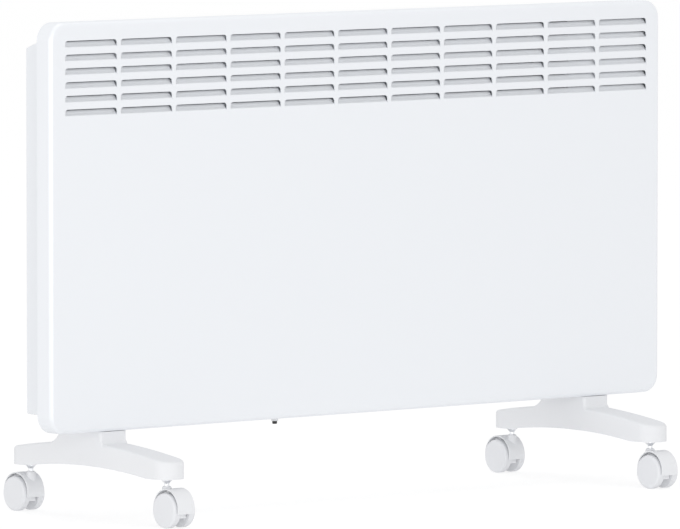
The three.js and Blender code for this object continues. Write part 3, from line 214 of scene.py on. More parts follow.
class Finishes(bpy.types.PropertyGroup):
    enamel: colour("Enamel", "Powder-coated sheet steel", (0.85, 0.865, 0.9))
    plastic: colour("White plastic", "Feet, hoods and the control housing", (0.84, 0.85, 0.875))
    wheel: colour("Wheel plastic", "Wheels of the casters", (0.79, 0.80, 0.83))
    black: colour("Black plastic", "Switch, connector, gland and sensor", (0.012, 0.012, 0.013))
    keys: colour("Key grey", "Buttons of the control face", (0.27, 0.28, 0.3))
    zinc: colour("Zinc plate", "Brackets, shield, screws and axles", (0.82, 0.83, 0.85))
    stem: colour("Bright zinc", "Stems of the casters", (0.9, 0.91, 0.93))
    cast: colour("Aluminium", "Finned heating element", (0.6, 0.61, 0.62))
    ceramic: colour("Ceramic", "Ends of the heating element", (0.78, 0.74, 0.65))
    board: colour("Circuit board", "Board in the control housing", (0.02, 0.1, 0.045))
    display: colour("Display", "Display window", (0.006, 0.008, 0.01))


class StageSizes(bpy.types.PropertyGroup):
    view_distance: length("View distance", "From the camera to what it looks at", 11.024)
    lens: FloatProperty(
        name="Lens", description="Focal length", default=522.85, unit="CAMERA"
    )
    yaw: angle("Yaw", "How far the camera looks round from the front", 40.37)
    pitch: angle("Pitch", "How far the camera looks down", 4.07)
    target: point("Target", "The point that the camera looks at", (-0.0337, -0.032, 0.2672))
    lit: point("Lit", "The point that the lights look at", (0, 0, 0.3))
    front_place: point("Front light", "Where the front light hangs", (-2.9, -4.9, 0.8))
    front_size: length("Front light size", "Side of the front light", 3.0)
    front_power: power("Front light power", "Power of the front light", 84)
    left_place: point("Left light", "Where the left light hangs", (-9.0, 0.4, 0.3))
    left_size: length("Left light size", "Side of the left light", 2.6)
    left_power: power("Left light power", "Power of the left light", 104)
    top_place: point("Top light", "Where the top light hangs", (0, 0, 3.2))
    top_size: length("Top light size", "Side of the top light", 2.4)
    top_power: power("Top light power", "Power of the top light", 11)
    sky: number("Sky", "Strength of the even light", 0.77)
    floor: length("Floor", "Side of the floor", 60.0)
    floor_tone: number("Floor tone", "How pale the floor is", 0.9)
    floor_glow: number("Floor glow", "Strength of the floor's own light", 1.2)
    glow_cast: number("Glow cast", "Share of glow in what the floor sends up", 0.3)
    glow_seen: number("Glow seen", "Share of glow in what the camera sees", 0.6)


# ---------------------------------------------------------------- modelling helpers


def only(made):
    """Makes this object the only selected one."""
    bpy.ops.object.select_all(action="DESELECT")
    made.select_set(True)
    bpy.context.view_layer.objects.active = made
    return made


def begin(add, name, location=(0, 0, 0), size=(1, 1, 1), rotation=(0, 0, 0)):
    """Adds a primitive, with its place in its mesh, and opens it in edit mode."""
    bpy.ops.object.select_all(action="DESELECT")
    add(location=location, rotation=rotation)
    made = bpy.context.object
    made.name = made.data.name = name
    made.scale = size
    bpy.ops.object.transform_apply(location=True, rotation=True, scale=True)
    bpy.ops.object.mode_set(mode="EDIT")
    return made


def reopen(made):
    """Opens a finished mesh in edit mode again."""
    only(made)
    bpy.ops.object.mode_set(mode="EDIT")
    return made


def done(made):
    """Leaves edit mode."""
    bpy.ops.object.mode_set(mode="OBJECT")
    return made


def near(a, b, tolerance=TINY):
    """Whether two lengths are the same, give or take a tolerance."""
    return abs(a - b) < tolerance


def middle(part):
    """The middle of an edge or a face."""
    return sum((v.co for v in part.verts), Vector()) / len(part.verts)


def pick(kind, test):
    """In edit mode, selects only the vertices, edges or faces that pass a test."""
    bpy.ops.mesh.select_mode(type=kind)
    bpy.ops.mesh.select_all(action="DESELECT")
    shape = bmesh.from_edit_mesh(bpy.context.object.data)
    parts = {"VERT": shape.verts, "EDGE": shape.edges, "FACE": shape.faces}[kind]
    for part in [part for part in parts if test(part)]:
        part.select_set(True)
    bmesh.update_edit_mesh(bpy.context.object.data)


def pick_all():
    """In edit mode, selects the whole mesh."""
    bpy.ops.mesh.select_all(action="SELECT")


def cut_across(axis, place):
    """Cuts the whole mesh in two along a plane square to an axis, keeping both parts."""
    normal, on_plane = [0, 0, 0], [0, 0, 0]
    normal[axis], on_plane[axis] = 1, place
    pick_all()
    bpy.ops.mesh.bisect(plane_co=on_plane, plane_no=normal)


def move(offset):
    """Moves what is selected."""
    bpy.ops.transform.translate(value=offset)


def turn(radians, axis, centre):
    """Turns what is selected about a line, by the right-hand rule."""
    bpy.ops.transform.rotate(value=-radians, orient_axis=axis, center_override=centre)


def extrude(offset):
    """Extrudes the selected faces or edges."""
    bpy.ops.mesh.extrude_region_move(TRANSFORM_OT_translate={"value": offset})


def round_edges(radius, segments):
    """Rounds the selected edges."""
    bpy.ops.mesh.bevel(offset=radius, segments=segments, affect="EDGES", profile=0.5)


def round_corners(radius, segments):
    """Rounds a flat outline at the selected vertices."""
    bpy.ops.mesh.bevel(offset=radius, segments=segments, affect="VERTICES", profile=0.5)


def weld():
    """Merges vertices that lie on one another."""
    pick_all()
    bpy.ops.mesh.remove_doubles(threshold=TINY)


def face_out():
    """Makes all faces point outwards."""
    pick_all()
    bpy.ops.mesh.normals_make_consistent(inside=False)


def modifier(made, kind, **settings):
    """Adds a modifier, sets it and applies it."""
    only(made)
    step = made.modifiers.new(kind.lower(), kind)
    for key, value in settings.items():
        setattr(step, key, value)
    bpy.ops.object.modifier_apply(modifier=step.name)


def joined(made, *others):
    """Joins the others into the first."""
    only(made)
    for other in others:
        other.select_set(True)
    bpy.ops.object.join()
    return made


def carve(made, cutter, how="DIFFERENCE"):
    """Cuts one closed mesh out of another, or fuses them, and drops the second."""
    modifier(made, "BOOLEAN", object=cutter, operation=how, solver="EXACT")
    bpy.data.objects.remove(cutter)


def moved(made, offset):
    """Moves a finished mesh, with its object left at the origin."""
    only(made)
    made.location = offset
    bpy.ops.object.transform_apply(location=True, rotation=True, scale=True)
    return made


def twin(made, name, place=(0, 0, 0), turned_by=0.0):
    """A copy with its own mesh, turned about the Z axis and then moved."""
    only(made)
    bpy.ops.object.duplicate(linked=False)
    copy = bpy.context.object
    copy.name = copy.data.name = name
    copy.rotation_euler = (0, 0, turned_by)
    return moved(copy, place)


def merged_copy(node, name):
    """A copy of a frame node's mesh, merged, with its flat faces whole, in edit mode."""
    made = bpy.data.objects.new(name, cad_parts[node].data.copy())
    made.data.name = name
    bpy.context.scene.collection.objects.link(made)
    reopen(made)
    weld()
    bpy.ops.mesh.customdata_custom_splitnormals_clear()
    pick_all()
    bpy.ops.mesh.dissolve_limited(angle_limit=math.radians(0.5))
    return made


def block(name, low, high, edge=0.0):
    """A block between two corners, its upright edges rounded."""
    centre = [(a + b) / 2 for a, b in zip(low, high)]
    half = [(b - a) / 2 for a, b in zip(low, high)]
    made = begin(bpy.ops.mesh.primitive_cube_add, name, centre, half)

    def upright(e):
        a, b = (v.co for v in e.verts)
        return near(a.x, b.x) and near(a.y, b.y)

    if edge:
        pick("EDGE", upright)
        round_edges(edge, 5)
    return done(made)


def turned(name, profile, steps):
    """A turned piece about the Z axis: (radius, height) points drawn as a line and spun."""
    made = begin(bpy.ops.mesh.primitive_plane_add, name, size=(SEED, SEED, SEED))
    bpy.ops.mesh.select_mode(type="VERT")
    pick_all()
    bpy.ops.mesh.merge(type="CENTER")
    last = profile[0]
    move((last[0], 0, last[1]))
    for radius, height in profile[1:]:
        step = (radius - last[0], 0, height - last[1])
        bpy.ops.mesh.extrude_vertices_move(TRANSFORM_OT_translate={"value": step})
        last = (radius, height)
    pick_all()
    bpy.ops.mesh.spin(steps=steps, angle=2 * math.pi, center=(0, 0, 0), axis=(0, 0, 1))
    weld()
    face_out()
    return done(made)


def round_bar(name, radius, low, high, steps=40):
    """A plain round bar about the Z axis, between two heights."""
    return turned(name, [(0, low), (radius, low), (radius, high), (0, high)], steps)


def arc(centre, radius, start, end, steps):
    """Points of an arc, its angles in degrees."""
    angles = [math.radians(a) for a in spread(start, end, steps)]
    return [(centre[0] + radius * math.cos(a), centre[1] + radius * math.sin(a)) for a in angles]


def spread(start, end, steps):
    """Places from start to end, evenly apart."""
    return [start + (end - start) * i / steps for i in range(steps + 1)]


def smooth(made, degrees=32):
    """Shades a piece smooth, apart from edges sharper than an angle."""
    only(made)
    bpy.ops.object.shade_smooth_by_angle(angle=math.radians(degrees))
    return made


def tidy(made):
    """Joins flat facets that booleans cut up, and shades flat faces flat."""
    reopen(made)
    weld()
    bpy.ops.mesh.dissolve_limited(angle_limit=math.radians(0.3))
    done(made)
    smooth(made)
    modifier(made, "WEIGHTED_NORMAL", keep_sharp=True)
    return made


def width(node):
    """Width of a frame node."""
    low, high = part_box(node)
    return high.x - low.x


def box_middle(node, height=0):
    """The middle of a frame node seen from above, at a height."""
    low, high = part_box(node)
    return ((low.x + high.x) / 2, (low.y + high.y) / 2, height)


# ---------------------------------------------------------------- finishes


def finish(
    name, colour, roughness, grain=900, bump=0.08, metallic=0.0, mottle=0.012,
    clouds=9, gloss_spread=0.05, relief_depth=0.0004,
):
    """A finish with faint clouds in its colour, uneven gloss and a fine grain."""
    material = bpy.data.materials.get(name)
    if material:
        return material
    material = bpy.data.materials.new(name)
    material.use_nodes = True
    material.diffuse_color = (*colour, 1)
    nodes, links = material.node_tree.nodes, material.node_tree.links
    shader = nodes["Principled BSDF"]
    shader.inputs["Metallic"].default_value = metallic
    place = nodes.new("ShaderNodeTexCoord")

    def noise(scale, detail):
        texture = nodes.new("ShaderNodeTexNoise")
        texture.inputs["Scale"].default_value = scale
        texture.inputs["Detail"].default_value = detail
        links.new(place.outputs["Object"], texture.inputs["Vector"])
        return texture.outputs["Fac"]

    tint = nodes.new("ShaderNodeMix")
    tint.data_type = "RGBA"
    tint.inputs["A"].default_value = (*[c * (1 - mottle) for c in colour], 1)
    tint.inputs["B"].default_value = (*[min(1, c * (1 + mottle)) for c in colour], 1)
    links.new(noise(clouds, 3), tint.inputs["Factor"])
    links.new(tint.outputs["Result"], shader.inputs["Base Color"])

    speckle = noise(grain, 2)
    gloss = nodes.new("ShaderNodeMapRange")
    gloss.inputs["To Min"].default_value = roughness - gloss_spread
    gloss.inputs["To Max"].default_value = roughness + gloss_spread
    links.new(speckle, gloss.inputs["Value"])
    links.new(gloss.outputs["Result"], shader.inputs["Roughness"])

    relief = nodes.new("ShaderNodeBump")
    relief.inputs["Strength"].default_value = bump
    relief.inputs["Distance"].default_value = relief_depth
    links.new(speckle, relief.inputs["Height"])
    links.new(relief.outputs["Normal"], shader.inputs["Normal"])
    return material


FINISHES = {
    "white_enamel": ("enamel", 0.56, dict(grain=700, bump=0.06)),
    "white_plastic": ("plastic", 0.36, dict(grain=1500)),
    "wheel_plastic": ("wheel", 0.5, dict(grain=1500)),
    "black_plastic": ("black", 0.5, dict(grain=1500, bump=0.15)),
    "key_grey": ("keys", 0.55, dict(grain=1500)),
    "zinc_steel": ("zinc", 0.45, dict(grain=400, bump=0.1, metallic=0.12, mottle=0.03)),
    "bright_zinc": ("stem", 0.3, dict(grain=600, bump=0.05, metallic=0.9, mottle=0.02)),
    "element_aluminium": ("cast", 0.5, dict(grain=600, bump=0.2, metallic=0.85, mottle=0.06)),
    "ceramic": ("ceramic", 0.6, dict(grain=1200, mottle=0.04)),
    "board_green": ("board", 0.4, dict(grain=800, mottle=0.2)),
    "display_dark": ("display", 0.12, dict(grain=300, bump=0.01)),
}


def coat(name):
    """A finish of the table: its colour, how rough it is, and its texture."""
    tone, roughness, texture = FINISHES[name]
    return finish(name, getattr(bpy.context.scene.finishes, tone), roughness, **texture)


def dress(made, slot, body, *nodes, look=None):
    """Gives a finished piece its finish, which its slot names, and its place in the frame."""
    made.data.materials.clear()
    made.data.materials.append(coat(look or slot))
    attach(made, body)
    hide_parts(*nodes)
    return made


# ---------------------------------------------------------------- the stage


def add_camera(stage):
    """A long lens that looks round from the front and a little down."""
    level = math.cos(stage.pitch)
    ahead = (math.sin(stage.yaw) * level, math.cos(stage.yaw) * level, -math.sin(stage.pitch))
    ahead = Vector(ahead)
    place = Vector(stage.target) - ahead * stage.view_distance
    bpy.ops.object.camera_add(location=place, rotation=ahead.to_track_quat("-Z", "Y").to_euler())
    camera = bpy.context.object
    camera.data.lens = stage.lens
    camera.data.sensor_width = 36
    camera.data.clip_end = 200
    bpy.context.scene.camera = camera


def add_panel_light(name, stage, place, size, watts):
    """A square soft light that looks at the heater."""
    aim = (Vector(stage.lit) - Vector(place)).to_track_quat("-Z", "Y").to_euler()
    bpy.ops.object.light_add(type="AREA", location=place, rotation=aim)
    lamp = bpy.context.object
    lamp.name = name
    lamp.data.size = size
    lamp.data.energy = watts


def add_sky(strength):
    """An even pale light all round, and plain white where the camera or gloss sees it."""
    world = bpy.context.scene.world or bpy.data.worlds.new("studio")
    bpy.context.scene.world = world
    world.use_nodes = True
    nodes, links = world.node_tree.nodes, world.node_tree.links
    sky = nodes["Background"]
    sky.inputs["Color"].default_value = (1, 1, 1, 1)
    rays = nodes.new("ShaderNodeLightPath")
    seen = rays.outputs["Is Camera Ray"]
    for kind in ("Is Glossy Ray", "Is Transmission Ray"):
        either = nodes.new("ShaderNodeMath")
        either.operation = "MAXIMUM"
        links.new(seen, either.inputs[0])
        links.new(rays.outputs[kind], either.inputs[1])
        seen = either.outputs["Value"]
    level = nodes.new("ShaderNodeMapRange")
    level.inputs["To Min"].default_value = strength
    level.inputs["To Max"].default_value = 1
    links.new(seen, level.inputs["Value"])
    links.new(level.outputs["Result"], sky.inputs["Strength"])


def floor_material(stage):
    """A white floor that keeps soft shadows, and that the camera sees as white."""
    material = bpy.data.materials.new("studio_floor")
    material.use_nodes = True
    nodes, links = material.node_tree.nodes, material.node_tree.links
    matt = nodes["Principled BSDF"]
    matt.inputs["Base Color"].default_value = (*[stage.floor_tone] * 3, 1)
    matt.inputs["Roughness"].default_value = 1
    matt.inputs["Specular IOR Level"].default_value = 0
    rays = nodes.new("ShaderNodeLightPath")
    share = nodes.new("ShaderNodeMapRange")
    share.inputs["To Min"].default_value = stage.glow_cast
    share.inputs["To Max"].default_value = stage.glow_seen
    links.new(rays.outputs["Is Camera Ray"], share.inputs["Value"])
    glow = nodes.new("ShaderNodeEmission")
    glow.inputs["Strength"].default_value = stage.floor_glow
    blend = nodes.new("ShaderNodeMixShader")
    links.new(share.outputs["Result"], blend.inputs["Fac"])
    links.new(matt.outputs["BSDF"], blend.inputs[1])
    links.new(glow.outputs["Emission"], blend.inputs[2])
    links.new(blend.outputs["Shader"], nodes["Material Output"].inputs["Surface"])
    return material


class HEATER_OT_stage(bpy.types.Operator):
    """Adds the camera, the lights, the even light all round and the floor"""

    bl_idname = "heater.stage"
    bl_label = "Stage"

    def execute(self, context):
        stage = context.scene.stage_sizes
        context.scene.view_settings.view_transform = "Standard"
        add_camera(stage)
        front, left, top = stage.front_place, stage.left_place, stage.top_place
        add_panel_light("front_light", stage, front, stage.front_size, stage.front_power)
        add_panel_light("left_light", stage, left, stage.left_size, stage.left_power)
        add_panel_light("top_light", stage, top, stage.top_size, stage.top_power)
        add_sky(stage.sky)
        floor = begin(bpy.ops.mesh.primitive_plane_add, "floor", size=(stage.floor,) * 3)
        done(floor)
        floor.data.materials.append(floor_material(stage))
        return {"FINISHED"}


# ---------------------------------------------------------------- front cover


def upright_plane(name, centre, across, height):
    """A plane that faces the front, in edit mode."""
    turned_up = (math.pi / 2, 0, 0)
    add = bpy.ops.mesh.primitive_plane_add
    return begin(add, name, centre, (across / 2, height / 2, 1), turned_up)


def louvre_flap(cover, root, front):
    """A flap with rounded upper corners, bent back in small folds above its root."""
    height = cover.louvre_height * cover.flap_stretch - cover.cut
    flap = upright_plane("flap", (0, front, root + height / 2), cover.louvre_width, height)
    pick("VERT", lambda v: v.co.z > root + TINY)
    round_corners(cover.louvre_corner - cover.cut, 6)
    fold_back = cover.root_tilt / cover.folds
    fold_up = (cover.tip_tilt - cover.root_tilt) / cover.folds
    steps = [(i + 0.5) / cover.folds for i in range(cover.folds)]
    lines = [(root + cover.root_bend * step, fold_back) for step in steps]
    lines += [(root + cover.shelf + cover.tip_bend * step, fold_up) for step in steps]
    for line, _ in lines:
        cut_across(2, line)
    for line, fold in reversed(lines):
        pick("VERT", lambda v: v.co.z > line + TINY)
        turn(-fold, "X", (0, front, line))
    pick("VERT", lambda v: v.co.z > root + TINY)
    bpy.ops.transform.resize(value=(1 - cover.cut / cover.louvre_width, 1, 1))
    return done(flap)


def louvre_ring(cover, root, front):
    """The sheet round one opening."""
    centre = (0, front, root + cover.louvre_height / 2)
    opening = upright_plane("opening", centre, cover.louvre_width, cover.louvre_height)
    pick("VERT", lambda v: v.co.z > root + TINY)
    round_corners(cover.louvre_corner, 6)
    done(opening)
    tile = done(upright_plane("tile", centre, cover.column_pitch, cover.row_pitch))
    reopen(joined(tile, opening))
    pick_all()
    bpy.ops.mesh.delete(type="ONLY_FACE")
    pick_all()
    bpy.ops.mesh.fill(use_beauty=True)
    bpy.ops.mesh.tris_convert_to_quads()
    return done(tile)


def louvre_field(cover, front, top):
    """All the louvres in one sheet."""
    root = top - cover.top_margin - cover.louvre_height
    field = joined(louvre_ring(cover, root, front), louvre_flap(cover, root, front))
    reopen(field)
    weld()
    pick("FACE", lambda f: near(middle(f).y, front) and f.normal.y > 0)
    bpy.ops.mesh.flip_normals()
    pick_all()
    move((-(cover.columns - 1) / 2 * cover.column_pitch, 0, 0))
    done(field)
    step = dict(
        fit_type="FIXED_COUNT",
        use_relative_offset=False,
        use_constant_offset=True,
        use_merge_vertices=True,
        merge_threshold=TINY,
    )
    across, down = (cover.column_pitch, 0, 0), (0, 0, -cover.row_pitch)
    modifier(field, "ARRAY", count=cover.columns, constant_offset_displace=across, **step)
    modifier(field, "ARRAY", count=cover.rows, constant_offset_displace=down, **step)
    return field


def cover_margin(cover, low, high):
    """A narrow ring along the cover's outline, its inner edge marked."""
    centre = (0, low.y, (low.z + high.z) / 2)
    ring = upright_plane("front_cover_sheet", centre, high.x - low.x, high.z - low.z)
    pick_all()
    round_corners(cover.corner, 14)
    bpy.ops.mesh.select_mode(type="FACE")
    pick_all()
    bpy.ops.mesh.inset(thickness=2 * cover.edge)
    bpy.ops.mesh.region_to_loop()
    bpy.ops.mesh.mark_seam(clear=False)
    pick("FACE", lambda f: len(f.verts) > 4)
    bpy.ops.mesh.delete(type="ONLY_FACE")
    return done(ring)


def front_cover(cover):
    """The cover: louvres and margins in one sheet, its rim folded back and its edge rounded."""
    low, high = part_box("front_cover")
    front = low.y
    half_field = cover.columns * cover.column_pitch / 2
    spare = (cover.row_pitch - cover.louvre_height) / 2
    field_top = high.z - cover.top_margin + spare
    field_low = field_top - cover.rows * cover.row_pitch

    def on_field_edge(e):
        place = middle(e)
        level = near(place.z, field_top) or near(place.z, field_low)
        return level or near(abs(place.x), half_field)

    def outside_field(e):
        place = middle(e)
        beside = abs(place.x) > half_field + TINY
        return beside or place.z > field_top + TINY or place.z < field_low - TINY

    field = reopen(louvre_field(cover, front, high.z))
    pick("EDGE", on_field_edge)
    bpy.ops.mesh.mark_seam(clear=False)
    done(field)
    sheet = reopen(joined(cover_margin(cover, low, high), field))
    pick("EDGE", lambda e: e.seam)
    bpy.ops.mesh.fill(use_beauty=True)
    pick("EDGE", lambda e: e.seam)
    bpy.ops.mesh.mark_seam(clear=True)
    pick("EDGE", lambda e: e.is_boundary and outside_field(e))
    extrude((0, high.y - front, 0))
    pick("EDGE", lambda e: near(middle(e).y, front) and e.calc_face_angle(0) > 1)
    round_edges(cover.edge, 8)
    face_out()
    done(sheet)
    modifier(sheet, "SOLIDIFY", thickness=cover.sheet, offset=-1, use_even_offset=True)
    return dress(smooth(sheet), "white_enamel", BODY, "front_cover")


class HEATER_OT_cover(bpy.types.Operator):
    """Models the louvred front cover"""

    bl_idname = "heater.cover"
    bl_label = "Front cover"

    def execute(self, context):
        front_cover(context.scene.cover_sizes)
        return {"FINISHED"}


# ---------------------------------------------------------------- rear casing


def rear_casing(sizes):
    """The casing, its folds rounded at both sides and along the top and bottom of its back."""
    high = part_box("rear_casing")[1]
    side, back, slack = high.x - sizes.flange, high.y, sizes.slack
    casing = merged_copy("rear_casing", "rear_casing_folded")
    points = [v.co for v in bmesh.from_edit_mesh(casing.data).verts]
    heights = [co.z for co in points if near(co.y, back) and near(abs(co.x), side, slack)]

    def is_fold(e):
        a, b = (v.co for v in e.verts)
        if e.calc_face_angle(0) <= sizes.fold_angle or (a - b).length <= sizes.fold_length:
            return False
        if near(a.x, b.x, slack) and all(near(abs(co.x), side, slack) for co in (a, b)):
            return True
        level = near(a.z, b.z) and any(near(a.z, z, slack) for z in (max(heights), min(heights)))
        return level and all(near(co.y, back) for co in (a, b))

    pick("EDGE", is_fold)
    round_edges(sizes.fold, 4)
    return dress(smooth(done(casing)), "white_enamel", BODY, "rear_casing")


class HEATER_OT_casing(bpy.types.Operator):
    """Models the folded rear casing"""

    bl_idname = "heater.casing"
    bl_label = "Rear casing"

    def execute(self, context):
        rear_casing(context.scene.casing_sizes)
        return {"FINISHED"}


# ---------------------------------------------------------------- feet


def arm_height(foot, reach, distance):
    """Height of an arm's top over the foot's underside, at a distance from the foot's middle."""
    part = max(0.0, distance - foot.neck_front) / (reach - foot.neck_front)
    fall, even, curved = foot.arm_root - foot.arm_end, 0.55, 0.45
    return foot.arm_root - fall * (even * part + curved * part * part)


def fillet_height(foot, reach, root, radius, inset):
    """Height of the foot's top on a curve from an arm up to the neck."""
    return arm_height(foot, reach, root) + radius - math.sqrt(radius**2 - inset**2)


def top_height(foot, reach, y):
    """Height of the foot's top with the curves that lead up to its neck."""
    front_root = foot.neck_front + foot.front_fillet
    rear_root = foot.neck_rear + foot.rear_fillet
    if y <= -front_root or y >= rear_root:
        return arm_height(foot, reach, abs(y))
    if y >= foot.neck_rear:
        return fillet_height(foot, reach, rear_root, foot.rear_fillet, rear_root - y)
    inset = min(foot.front_fillet, y + front_root)
    return fillet_height(foot, reach, front_root, foot.front_fillet, inset)


def raise_rows(test, height_at):
    """Raises each row of vertices that passes a test by the height asked at its place."""
    places, slack = 6, 2e-6
    shape = bmesh.from_edit_mesh(bpy.context.object.data)
    rows = {round(v.co.y, places) for v in shape.verts if test(v)}
    for row in rows:
        pick("VERT", lambda v: near(v.co.y, row, slack) and test(v))
        move((0, 0, height_at(row)))


def foot_arms(foot, half_width, reach):
    """Both arms in one: a long plan with round ends, its upper edge rounded, then bent."""
    blank = foot.arm_end
    arms = begin(bpy.ops.mesh.primitive_plane_add, "foot", size=(half_width, reach, 1))
    round_corners(half_width, 14)
    weld()
    pick("FACE", lambda f: True)
    extrude((0, 0, blank - foot.edge))
    turns = spread(0, math.pi / 2, 6)
    for a, b in zip(turns, turns[1:]):
        inward = foot.edge * (math.cos(a) - math.cos(b))
        upward = foot.edge * (math.sin(b) - math.sin(a))
        bpy.ops.mesh.inset(thickness=inward, depth=upward)
    front_root = foot.neck_front + foot.front_fillet
    rear_root = foot.neck_rear + foot.rear_fillet
    straight = reach - half_width
    stations = spread(-straight, -front_root, 12) + spread(-front_root, -foot.neck_front, 6)
    stations += spread(0, foot.neck_rear, 3) + spread(foot.neck_rear, rear_root, 14)
    stations += spread(rear_root, straight, 8)
    for place in sorted(set(stations)):
        cut_across(1, place)
    weld()
    raise_rows(lambda v: v.co.z > blank / 2, lambda y: top_height(foot, reach, y) - blank)
    raise_rows(
        lambda v: v.co.z < TINY and abs(v.co.y) < foot.arch_half,
        lambda y: foot.arch_rise * (1 - (y / foot.arch_half) ** 2),
    )
    face_out()
    return done(arms)


def foot_neck(foot, half_width, step, top):
    """The neck: its front part under the cover's edge, its taller part under the casing."""
    root = foot.arm_end
    tall_corners = (-half_width, step, root), (half_width, foot.neck_rear, top)
    tall = block("neck", *tall_corners, foot.edge)
    low_end = foot.neck_rear - foot.edge
    low_corners = (-half_width, -foot.neck_front, root), (half_width, low_end, foot.neck_height)
    carve(tall, block("neck_front", *low_corners, foot.edge), "UNION")
    return tall


def foot_cells(foot, half_width):
    """Cutters for the open cells under both arms."""
    start = foot.neck_front + foot.wall
    end = foot.stem_spacing / 2 - foot.socket_radius - foot.socket_wall
    pitch = (end - start + foot.rib) / foot.cells
    side = half_width - foot.wall
    reach = foot.stem_spacing / 2 + half_width
    cutters = []
    for i in range(foot.cells):
        near_end = start + i * pitch
        far_end = near_end + pitch - foot.rib
        top = arm_height(foot, reach, far_end) - foot.wall
        for low_y, high_y in ((-far_end, -near_end), (near_end, far_end)):
            corners = (-side, low_y, -PAST), (side, high_y, top)
            cutters.append(block("cell", *corners, foot.cell_corner))
    return joined(*cutters)


def stem_sockets(foot):
    """Cutters for the sockets of both stems."""
    ends = (-foot.stem_spacing / 2, foot.stem_spacing / 2)
    size = (foot.socket_radius, -PAST, foot.socket_depth)
    return joined(*[moved(round_bar("socket", *size), (0, y, 0)) for y in ends])


def screw_holes(foot, top):
    """Cutters for the screws and for the recesses of their heads."""
    profile = [(0, -PAST), (foot.screw_recess, -PAST), (foot.screw_recess, foot.screw_seat)]
    profile += [(foot.screw_hole, foot.screw_seat), (foot.screw_hole, top), (0, top)]
    places = (foot.screw_front, foot.screw_rear)
    return joined(*[moved(turned("screw_hole", profile, 40), (0, y, 0)) for y in places])


def one_foot(foot):
    """A foot about its own middle, its underside at height 0."""
    low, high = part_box("foot_left")
    half_width, reach = (high.x - low.x) / 2, (high.y - low.y) / 2
    top = high.z - low.z
    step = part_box("front_cover")[1].y + foot.neck_gap - (low.y + high.y) / 2
    made = foot_arms(foot, half_width, reach)
    carve(made, foot_neck(foot, half_width, step, top), "UNION")
    carve(made, foot_cells(foot, half_width))
    carve(made, stem_sockets(foot))
    carve(made, screw_holes(foot, top + PAST))
    return tidy(made)


class HEATER_OT_feet(bpy.types.Operator):
    """Models the two feet with their curved arms, necks and open undersides"""

    bl_idname = "heater.feet"
    bl_label = "Feet"

    def execute(self, context):
        pattern = one_foot(context.scene.foot_sizes)
        for node in ("foot_left", "foot_right"):
            place = box_middle(node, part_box(node)[0].z)
            foot = twin(pattern, f"{node}_moulding", place)
            dress(foot, "white_plastic", BODY, node)
        bpy.data.objects.remove(pattern)
        return {"FINISHED"}


# ---------------------------------------------------------------- casters


def along_x(made, centre):
    """Lays a piece turned about the Z axis along the X axis, and moves it to its place."""
    reopen(made)
    pick_all()
    turn(math.pi / 2, "Y", (0, 0, 0))
    move(centre)
    return done(made)


def hood_band(caster, half_width):
    """The band over the wheels: a line spun round the hood's middle, then given its wall."""
    dip = math.asin((caster.hood_radius - caster.hood_edge) / caster.hood_radius)
    centre = (0, caster.trail, caster.hood_radius)
    band = begin(bpy.ops.mesh.primitive_plane_add, "hood", size=(half_width, SEED, 1))
    pick("VERT", lambda v: v.co.y < 0)
    bpy.ops.mesh.delete(type="VERT")
    pick_all()
    move((0, caster.trail + caster.hood_radius - SEED, caster.hood_radius))
    turn(-dip, "X", centre)
    bpy.ops.mesh.spin(steps=64, angle=-math.pi - 2 * dip, center=centre, axis=(1, 0, 0))
    weld()
    face_out()
    done(band)
    modifier(band, "SOLIDIFY", thickness=caster.hood_wall, offset=-1, use_even_offset=True)

    def on_side(e):
        a, b = (v.co for v in e.verts)
        return near(abs(a.x), half_width) and near(a.x, b.x)

    reopen(band)
    pick("EDGE", on_side)
    round_edges(caster.hood_lip, 2)
    face_out()
    return done(band)


def hood_web(caster, half):
    """The web between the wheels, narrower below the band's lower edge, with its hub."""
    radius = caster.hood_radius - caster.hood_wall / 2
    web = round_bar("web", radius, -half, half, 96)
    along_x(web, (0, caster.trail, caster.hood_radius))
    beyond, deep = 3 * caster.hood_radius, 0.01
    carve(web, block("below", (-beyond, -beyond, -deep), (beyond, beyond, caster.hood_edge)))
    reach = caster.wheel_radius - caster.web_recess
    low = (-half, caster.trail - reach, caster.web_edge)
    high = (half, caster.trail + reach, caster.hood_radius)
    carve(web, block("web_foot", low, high), "UNION")
    hub = round_bar("hub", caster.axle_radius + caster.hub_wall, -half, half)
    carve(web, along_x(hub, (0, caster.trail, caster.wheel_radius)), "UNION")
    return web


def caster_hood(caster, half_width):
    """A hood about its stem, trailing towards +Y: band, web, and a boss for the stem."""
    hood = hood_band(caster, half_width)
    carve(hood, hood_web(caster, caster.web_width / 2), "UNION")
    radius, top, edge = caster.boss_radius, caster.boss_top, caster.boss_edge
    boss = [(0, caster.boss_bottom), (radius, caster.boss_bottom)]
    boss += arc((radius - edge, top - edge), edge, 0, 90, 5) + [(0, top)]
    carve(hood, turned("boss", boss, 48), "UNION")
    low = caster.pin_bottom - caster.gap
    carve(hood, round_bar("stem_hole", caster.pin_radius + caster.gap, low, top + PAST))
    axle = round_bar("axle_hole", caster.axle_radius + caster.gap, -half_width, half_width)
    carve(hood, along_x(axle, (0, caster.trail, caster.wheel_radius)))
    return tidy(hood)


def caster_stem(caster, top):
    """A stem: a waisted pin with a flange, and the pin that sits in the foot."""
    flange_top = caster.height - caster.gap
    flange_low = flange_top - caster.flange_thickness
    edge = caster.stem_edge
    profile = [(0, caster.pin_bottom), (caster.pin_radius, caster.pin_bottom)]
    profile += [(caster.pin_radius, caster.cone_bottom), (caster.flange_radius, flange_low)]
    profile += arc((caster.flange_radius - edge, flange_top - edge), edge, 0, 90, 3)
    profile += [(caster.socket_pin, flange_top), (caster.socket_pin, top - 2 * edge)]
    profile += [(caster.socket_pin - 2 * edge, top), (0, top)]
    return smooth(turned("stem", profile, 48))


